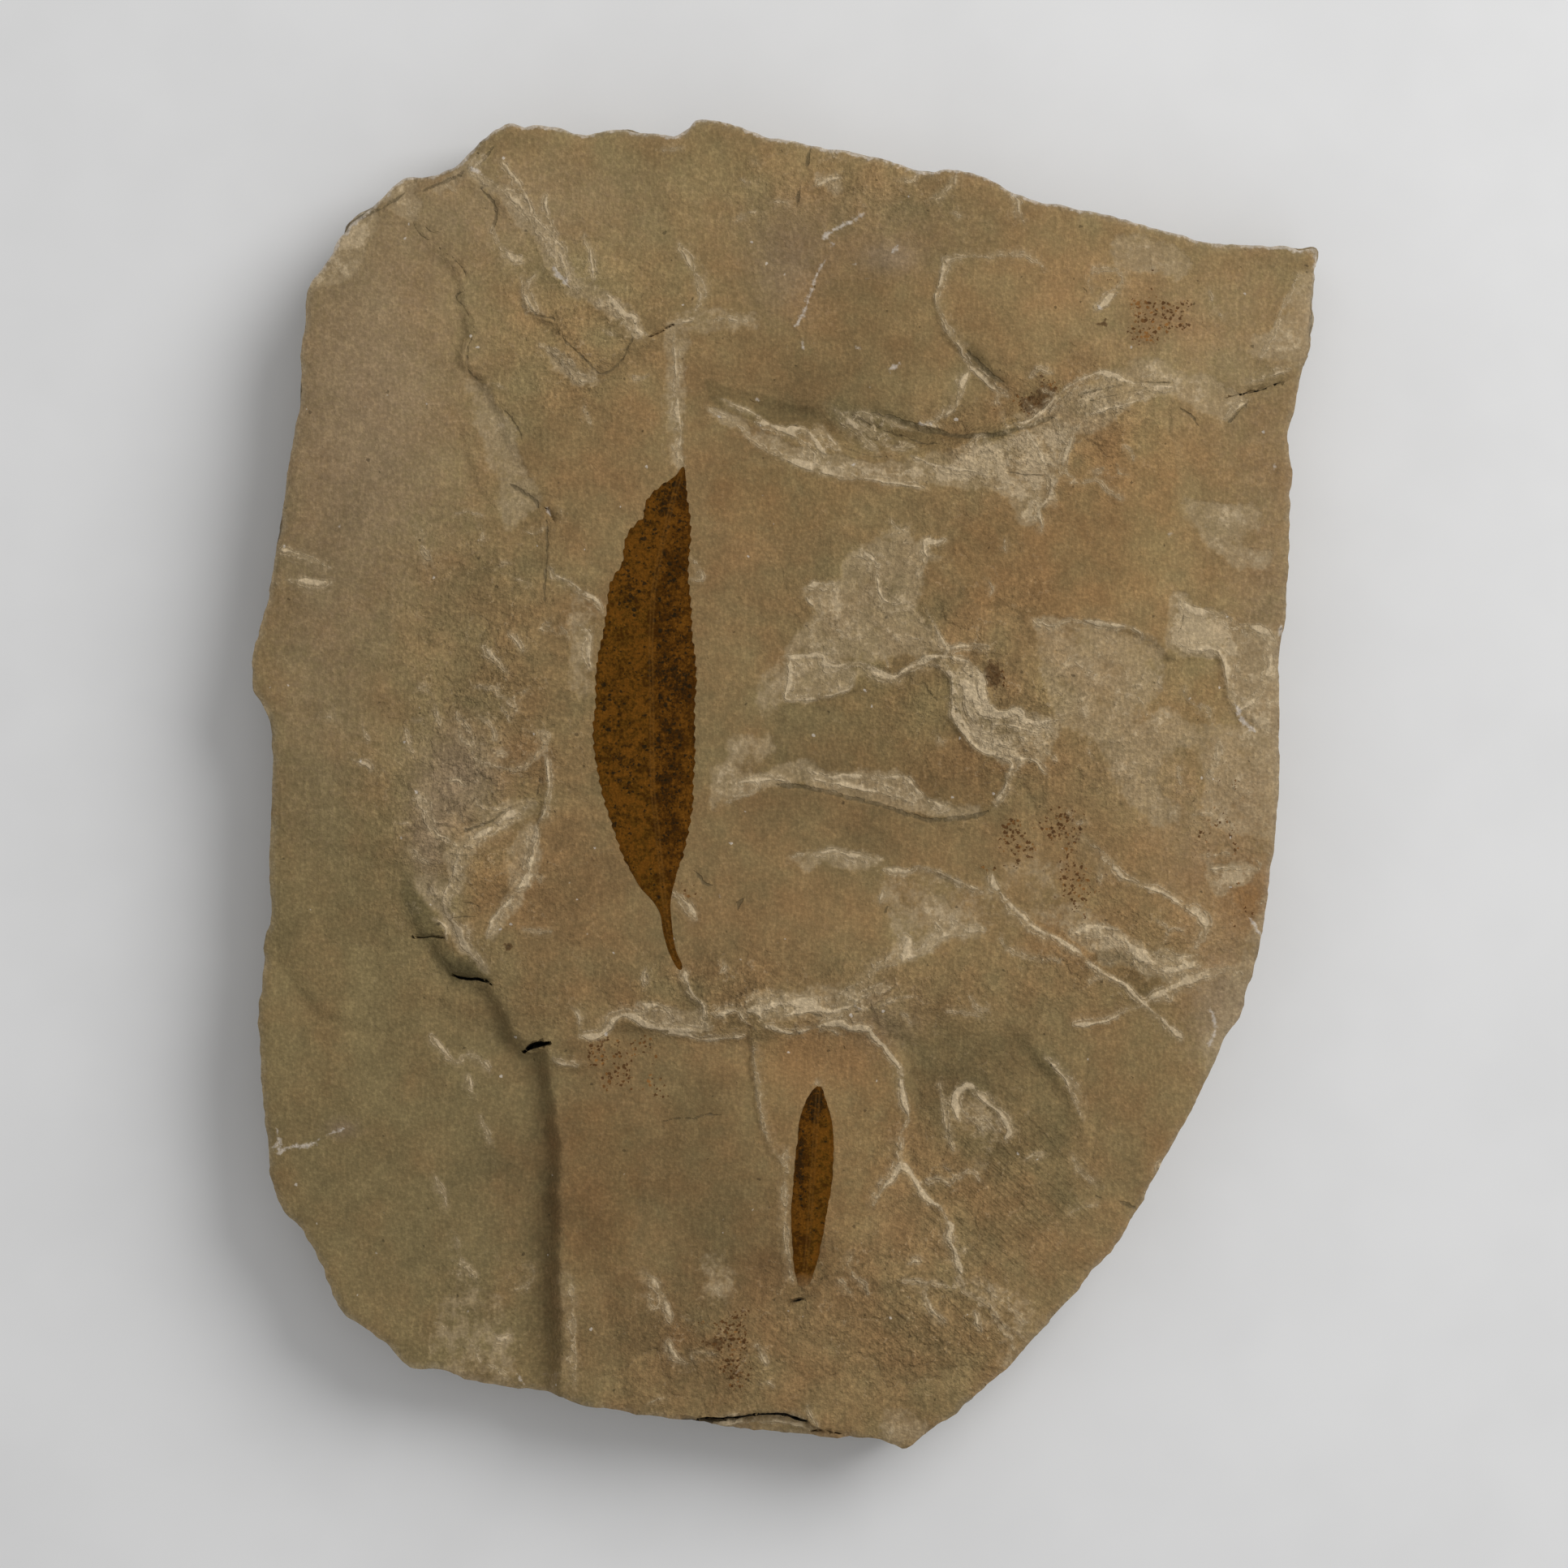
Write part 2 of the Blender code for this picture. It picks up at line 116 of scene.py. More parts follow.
print("corners on a curve through three points:", len(smooth_line([(0, 0), (3, 2), (6, 0)], 0.5)))


# %% Distance to a line
def nearest_on_line(places, line):
    """Distance, positive on the line's left, and the share of its length that each place is nearest to."""
    spans = np.diff(line, axis=0)
    lengths = np.maximum(np.linalg.norm(spans, axis=1), 1e-9)
    run = np.concatenate([[0.0], np.cumsum(lengths)])
    best = np.full(len(places), np.inf)
    signed, share = np.zeros(len(places)), np.zeros(len(places))
    for index, (start, span, length) in enumerate(zip(line[:-1], spans, lengths)):
        offset = places - start
        t = np.clip(offset @ span / length**2, 0.0, 1.0)
        gap = offset - t[:, None] * span
        distance = np.hypot(gap[:, 0], gap[:, 1])
        side = np.where(span[0] * offset[:, 1] - span[1] * offset[:, 0] < 0, -1.0, 1.0)
        closer = distance < best - 1e-9
        best = np.where(closer, distance, best)
        signed = np.where(closer, distance * side, signed)
        share = np.where(closer, (run[index] + t * length) / run[-1], share)
    return signed, share


def inside(places, ring):
    within = np.zeros(len(places), bool)
    for (x0, y0), (x1, y1) in zip(ring, np.roll(ring, -1, axis=0)):
        crosses = (y0 > places[:, 1]) != (y1 > places[:, 1])
        rise = y1 - y0 if y1 != y0 else 1e-12
        within ^= crosses & (places[:, 0] < (x1 - x0) * (places[:, 1] - y0) / rise + x0)
    return within


def depth_inside(places, ring):
    distance, _ = nearest_on_line(places, np.vstack([ring, ring[:1]]))
    return np.where(inside(places, ring), np.abs(distance), -np.abs(distance))


def near(places, line, reach):
    """Indices of the places that could be within reach of the line."""
    low, high = line.min(axis=0) - reach, line.max(axis=0) + reach
    return np.flatnonzero(np.all((places > low) & (places < high), axis=1))


def smoothstep(value):
    value = np.clip(value, 0.0, 1.0)
    return value * value * (3 - 2 * value)


def grown(ring, distance):
    """A closed line moved out of itself. The distance may differ from point to point."""
    along = np.roll(ring, -1, axis=0) - np.roll(ring, 1, axis=0)
    normal = np.column_stack([along[:, 1], -along[:, 0]])
    normal /= np.linalg.norm(normal, axis=1)[:, None]
    area = np.sum(ring[:, 0] * np.roll(ring[:, 1], -1) - np.roll(ring[:, 0], -1) * ring[:, 1])
    return ring + normal * np.broadcast_to(distance, len(ring))[:, None] * np.sign(area)


def rough(places, size, octaves, seed):
    """Smooth random heights from about -1 to 1, with bumps of this size and finer ones on them."""
    return np.array([noise.fractal((x / size, y / size, seed), 0.9, 2.0, octaves) for x, y in places])


# %% [markdown]
# ## Outline, ledges and scars
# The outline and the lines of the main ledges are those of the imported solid, so the skin keeps its size.
# Only a few of the drops are set anew here. A ledge is where the top sheets of shale are gone on one side:
# it falls over its width by drops that run along it, and the low side climbs back over the fade. The second
# list holds lower ledges that only this skin has. The scar is a shallow patch with a sharp edge all round.

# %% The broken outline
OUTLINE = points_in(
    "-61.5,40 -60.6,45 -60,51 -59.8,56 -59.3,60.6 -58.3,62.8 -56.5,65.3 -55.2,68 -53.8,70.2 -51,72.2 "
    "-47.6,75.1 -44.5,75.4 -41.4,76.1 -39.4,77.7 -37.6,79.7 -35.3,81.4 -33.6,81.8 -32,81.4 -30.4,81.7 "
    "-27.4,81.2 -25.8,80.5 -23,80.9 -20.4,81.2 -16,80.6 -13.6,80.3 -12,81 -10.9,82.1 -9.4,82.4 -6.4,81.8 "
    "-3.4,80.6 0.5,79.8 5,78.8 9,78.2 13,77.2 17.4,76.2 21.4,76.1 25,75.1 28,73.5 31,72.4 35,71.5 40,70.6 "
    "44,69.5 49,68 52.6,67.1 57,66.9 62,66.9 63.6,66.5 66,66.3 66,62.5 65.6,57.5 65.2,53.2 64,49.8 63.1,46 "
    "62.5,42.8 62.8,38 62.6,32.5 62.5,26.5 62.1,21.5 61.4,17 61.4,9.5 61.3,1.5 60.9,-5 60.2,-11 59.5,-17 "
    "58.1,-23.2 56.6,-28 54.6,-31.8 52.8,-35.8 50,-41.3 46.9,-46.8 44.2,-51.8 41,-56.9 36.8,-62 32.4,-67.1 "
    "28.2,-71.5 23.2,-76.2 18.2,-80.2 15.9,-81.9 14.7,-82.4 13.3,-81.7 10.8,-81 5,-80.9 -1,-80.4 -6.4,-79.9 "
    "-10.4,-79.1 -14.8,-78.4 -20.4,-77.7 -25.2,-76.9 -28.4,-75.8 -33.5,-75 -38.8,-74.2 -40.8,-73.2 "
    "-42.6,-72.5 -45.4,-72.6 -47.1,-71.7 -49.3,-69.4 -52.6,-66.8 -55,-65.2 -56.7,-62 -57.6,-59.5 -59.7,-55.3 "
    "-61.7,-53.6 -63,-51.5 -63.9,-48 -64.3,-43 -64.9,-37 -65.3,-31 -65.4,-27.2 -64.8,-24.8 -64.7,-20.4 "
    "-63.9,-17.2 -63.8,-14.6 -64.1,-12.2 -63.8,-5 -63.6,2 -63.7,7 -64.8,9.7 -66,12.2 -66,16.2 -65,19.9 "
    "-63.9,23.6 -63.2,28 -62.4,33.5"
)
TOP = 13.0
OUTLINE_SPACING = 0.52
BOX_LOW, BOX_HIGH = np.array(cad_box[0][:2]) / MM, np.array(cad_box[1][:2]) / MM
outline = broken(smooth_line(OUTLINE, OUTLINE_SPACING, closed=True), 0.22, 1.3, 4.0)
outline = np.clip(outline, BOX_LOW, BOX_HIGH)
print("outline corners:", len(outline))

# %% Ledges: line, drops along it, width, fade, and the side that is low
LEDGES = [
    ("-48.6,-9 -47.6,-12 -45.2,-15.5 -43.2,-18.8 -40.3,-22.2 -36.4,-24.4 -34,-28.3 -32.2,-31.9 "
     "-29.3,-32.2 -28.8,-36 -27.8,-43 -27.5,-54 -27.4,-67 -27.4,-78",
     [0, 0.9, 1.7, 2.3, 2.6, 2.9, 3], 2, 36, "right"),
    ("-44.5,73.5 -45.2,69.5 -41.5,65.2 -39.4,62 -39.6,59.5 -38.4,56.2 -39.2,52.6 -36.6,49.2 -34,44.2 "
     "-31.6,38.5 -29.4,33.5", [0, 0.4, 0.6, 0.55, 0.3, 0], 1.3, 20, "right"),
    ("-39.5,77 -37.5,75 -34.6,73.2 -31.8,70.8 -29.3,68 -27.2,63.4 -23.6,60.9 -20.6,58.9 -17.6,55.3 "
     "-14.2,56.8 -9.5,56.8 -4.6,57.3", [0.3, 0.35, 0.35, 0.4, 0.4, 0], 2.6, 16, "right"),
    ("-10.6,49.6 -7.5,46.5 -2.5,44.4 2.6,43.4 4.6,41.6 10,40.4 17,40.8 22,42.4 30.5,44 36.5,46.6 44,49.6 "
     "51,49.6", [0, 1.2, 1.8, 1.9, 1.4, 0.7, 0], 2.2, 24, "left"),
    ("-28.6,-33.6 -25,-34.4 -22,-29.6 -16,-29.6 -9,-30.6 -3.4,-30.4 1,-29.8 6.3,-29.6 10.4,-30.4",
     [0.3, 0.8, 0.6, 0.4, 0.3], 1.4, 40, "right"),
    ("9.4,-27.6 10.6,-30.4 14.4,-34.5 15.1,-40 14.3,-46.6 17.2,-51.2 19.4,-51.8 21,-56 22.4,-61.5",
     [0.3, 0.7, 0.8, 0.7, 0.5, 0], 1.2, 18, "left"),
    ("26.5,-28.5 30.5,-32 33.4,-35.6 35.4,-38.8 36.8,-42.4", [0, 0.5, 0.6, 0.4, 0], 1.6, 16, "right"),
    ("-54.5,66 -50.4,70.2 -46.4,71.2 -41.5,74.3 -38.2,77 -35.4,80.2", [0, 1.2, 1.4, 1.2, 0], 3, 60, "left"),
    ("-14.5,-78.8 -8,-78.2 -2,-77.6 2.8,-78.7 6,-80 9.6,-81.4",
     [0, 1.4, 1.8, 1.4, 0.5, 0], 0.3, 60, "right"),
]
LOW_LEDGES = [
    ("-31,63.8 -32.2,60.2 -30.6,57.8 -28.4,56.6 -28.2,55 -29,53.6 -27,52 -25.5,49.5 -22.4,49.5",
     [0, 0.35, 0.35, 0.3, 0], 0.5, 7, "right"),
    ("19.6,64.6 18.6,60.2 20.3,55.4 22.6,52.8 26.4,49.4 29,48.2",
     [0, 0.25, 0.4, 0.5, 0.2], 0.6, 9, "right"),
    ("-35.4,33 -36.2,35.6 -38.3,39.6 -40,46", [0, 0.25, 0.25, 0], 0.8, 8, "left"),
    ("-62.5,-15 -60.6,-21 -57,-26.5 -50,-29 -42,-26", [0, 0.4, 0.5, 0.3, 0], 2, 14, "right"),
    ("-29.6,3.6 -29.4,-2.6 -30.4,-6.4 -32.4,-10 -34.5,-14 -36.6,-19.4",
     [0, 0.4, 0.5, 0.4, 0], 0.5, 8, "right"),
    ("-40.6,-10.2 -43.4,-12.4 -41.6,-15.4 -39.6,-18.8 -38.6,-21", [0.1, 0.5, 0.5, 0.2], 0.6, 7, "right"),
    ("-20,-56 -19.5,-65 -18.5,-70 -17,-77", [0, 0.35, 0.5, 0.6], 2.6, 8, "right"),
    ("21.8,-37.2 24.2,-38.2 26.6,-40.6 27.6,-43.2 26.6,-44.8 24,-44.4 21,-41.6 20.6,-38.6 21.8,-37.2",
     [0.2, 0.2, 0.2], 1.2, 5, "right"),
    ("-4.2,-31 -3.9,-35.2 -3.2,-39.6 -1.8,-44.6 1,-49.2", [0.5, 0.4, 0.3, 0], 0.5, 9, "right"),
    ("26,-11.5 28.4,-15.6 32.4,-18.8 39,-23.2 46.4,-28.6", [0, 0.2, 0.25, 0.2, 0], 0.7, 9, "left"),
    ("40,-21.4 40.6,-18.6 44,-20.4 45.4,-22.2 51,-22.2 58,-22.8", [0, 0.4, 0.4, 0.4, 0.2], 0.6, 8, "left"),
    ("31,20.4 36.8,20.4 44.6,18.2 47.6,15.6 50,16.2 53.6,15.8 55.2,9.6 57,8",
     [0, 0.3, 0.35, 0.4, 0.2], 0.5, 8, "right"),
    ("-23.6,23.2 -27.6,25.6 -29.4,28.6 -29.4,33.6", [0, 0.2, 0.25, 0], 0.6, 6, "left"),
    ("12,-10.4 16.6,-10.2 20,-11.4 25,-13.6", [0, 0.3, 0.3, 0], 0.5, 6, "right"),
    ("-13.6,-22.4 -11.6,-25.6 -10,-27.6 -9.8,-30", [0, 0.3, 0.3, 0.1], 0.5, 5, "right"),
    ("54.4,47.6 59.4,49 62.6,49.9", [0.5, 0.5, 0.4], 0.25, 6, "left"),
]
SCAR = ("-3.4,3 0.3,9.8 7.3,11.2 9.6,15 14,13.8 17.6,15.9 20.3,13 20.7,8 23.4,4.4 27.3,2.4 25.8,-2.2 "
        "20.5,-4 11.5,-2.6 3,-0.2")
SCAR_DEPTH, SCAR_WALL = 0.35, 0.5
EDGE_SPACING = 0.45


def ledge_of(text, drops, width, fade, low_side, seed):
    line = broken(smooth_line(points_in(text), EDGE_SPACING), 0.5, 3.1, seed)
    line = broken(line, 0.24, 0.9, seed + 5)
    turn = 1 if low_side == "left" else -1
    return {"line": line, "drops": drops, "width": width, "fade": fade, "turn": turn}


ledges = [ledge_of(*row, 1.7 * index) for index, row in enumerate(LEDGES + LOW_LEDGES)]
scar_ring = broken(smooth_line(points_in(SCAR), EDGE_SPACING, closed=True), 0.6, 2.2, 8.0)
print("ledges:", len(ledges))


# %% Height of the rock's top face
FACE_BELOW_TOP, FACE_WAVES = 0.14, 0.11


def rock_height(places):
    height = np.full(len(places), TOP - FACE_BELOW_TOP) + FACE_WAVES * rough(places, 17.0, 4, 2.0)
    height += FACE_WAVES * flakiness(places) * rough(places, 4.2, 4, 33.0)
    for ledge in ledges:
        reach = ledge["fade"] + ledge["width"]
        close = near(places, ledge["line"], reach)
        signed, share = nearest_on_line(places[close], ledge["line"])
        below = signed * ledge["turn"]
        drop = np.interp(share, np.linspace(0.0, 1.0, len(ledge["drops"])), ledge["drops"])
        climb = np.clip((below - ledge["width"]) / ledge["fade"], 0.0, 1.0)
        height[close] -= drop * smoothstep(below / ledge["width"]) * (1 - climb) ** 2
    close = near(places, scar_ring, 1.0)
    height[close] -= SCAR_DEPTH * smoothstep(depth_inside(places[close], scar_ring) / SCAR_WALL)
    return np.minimum(height, TOP)
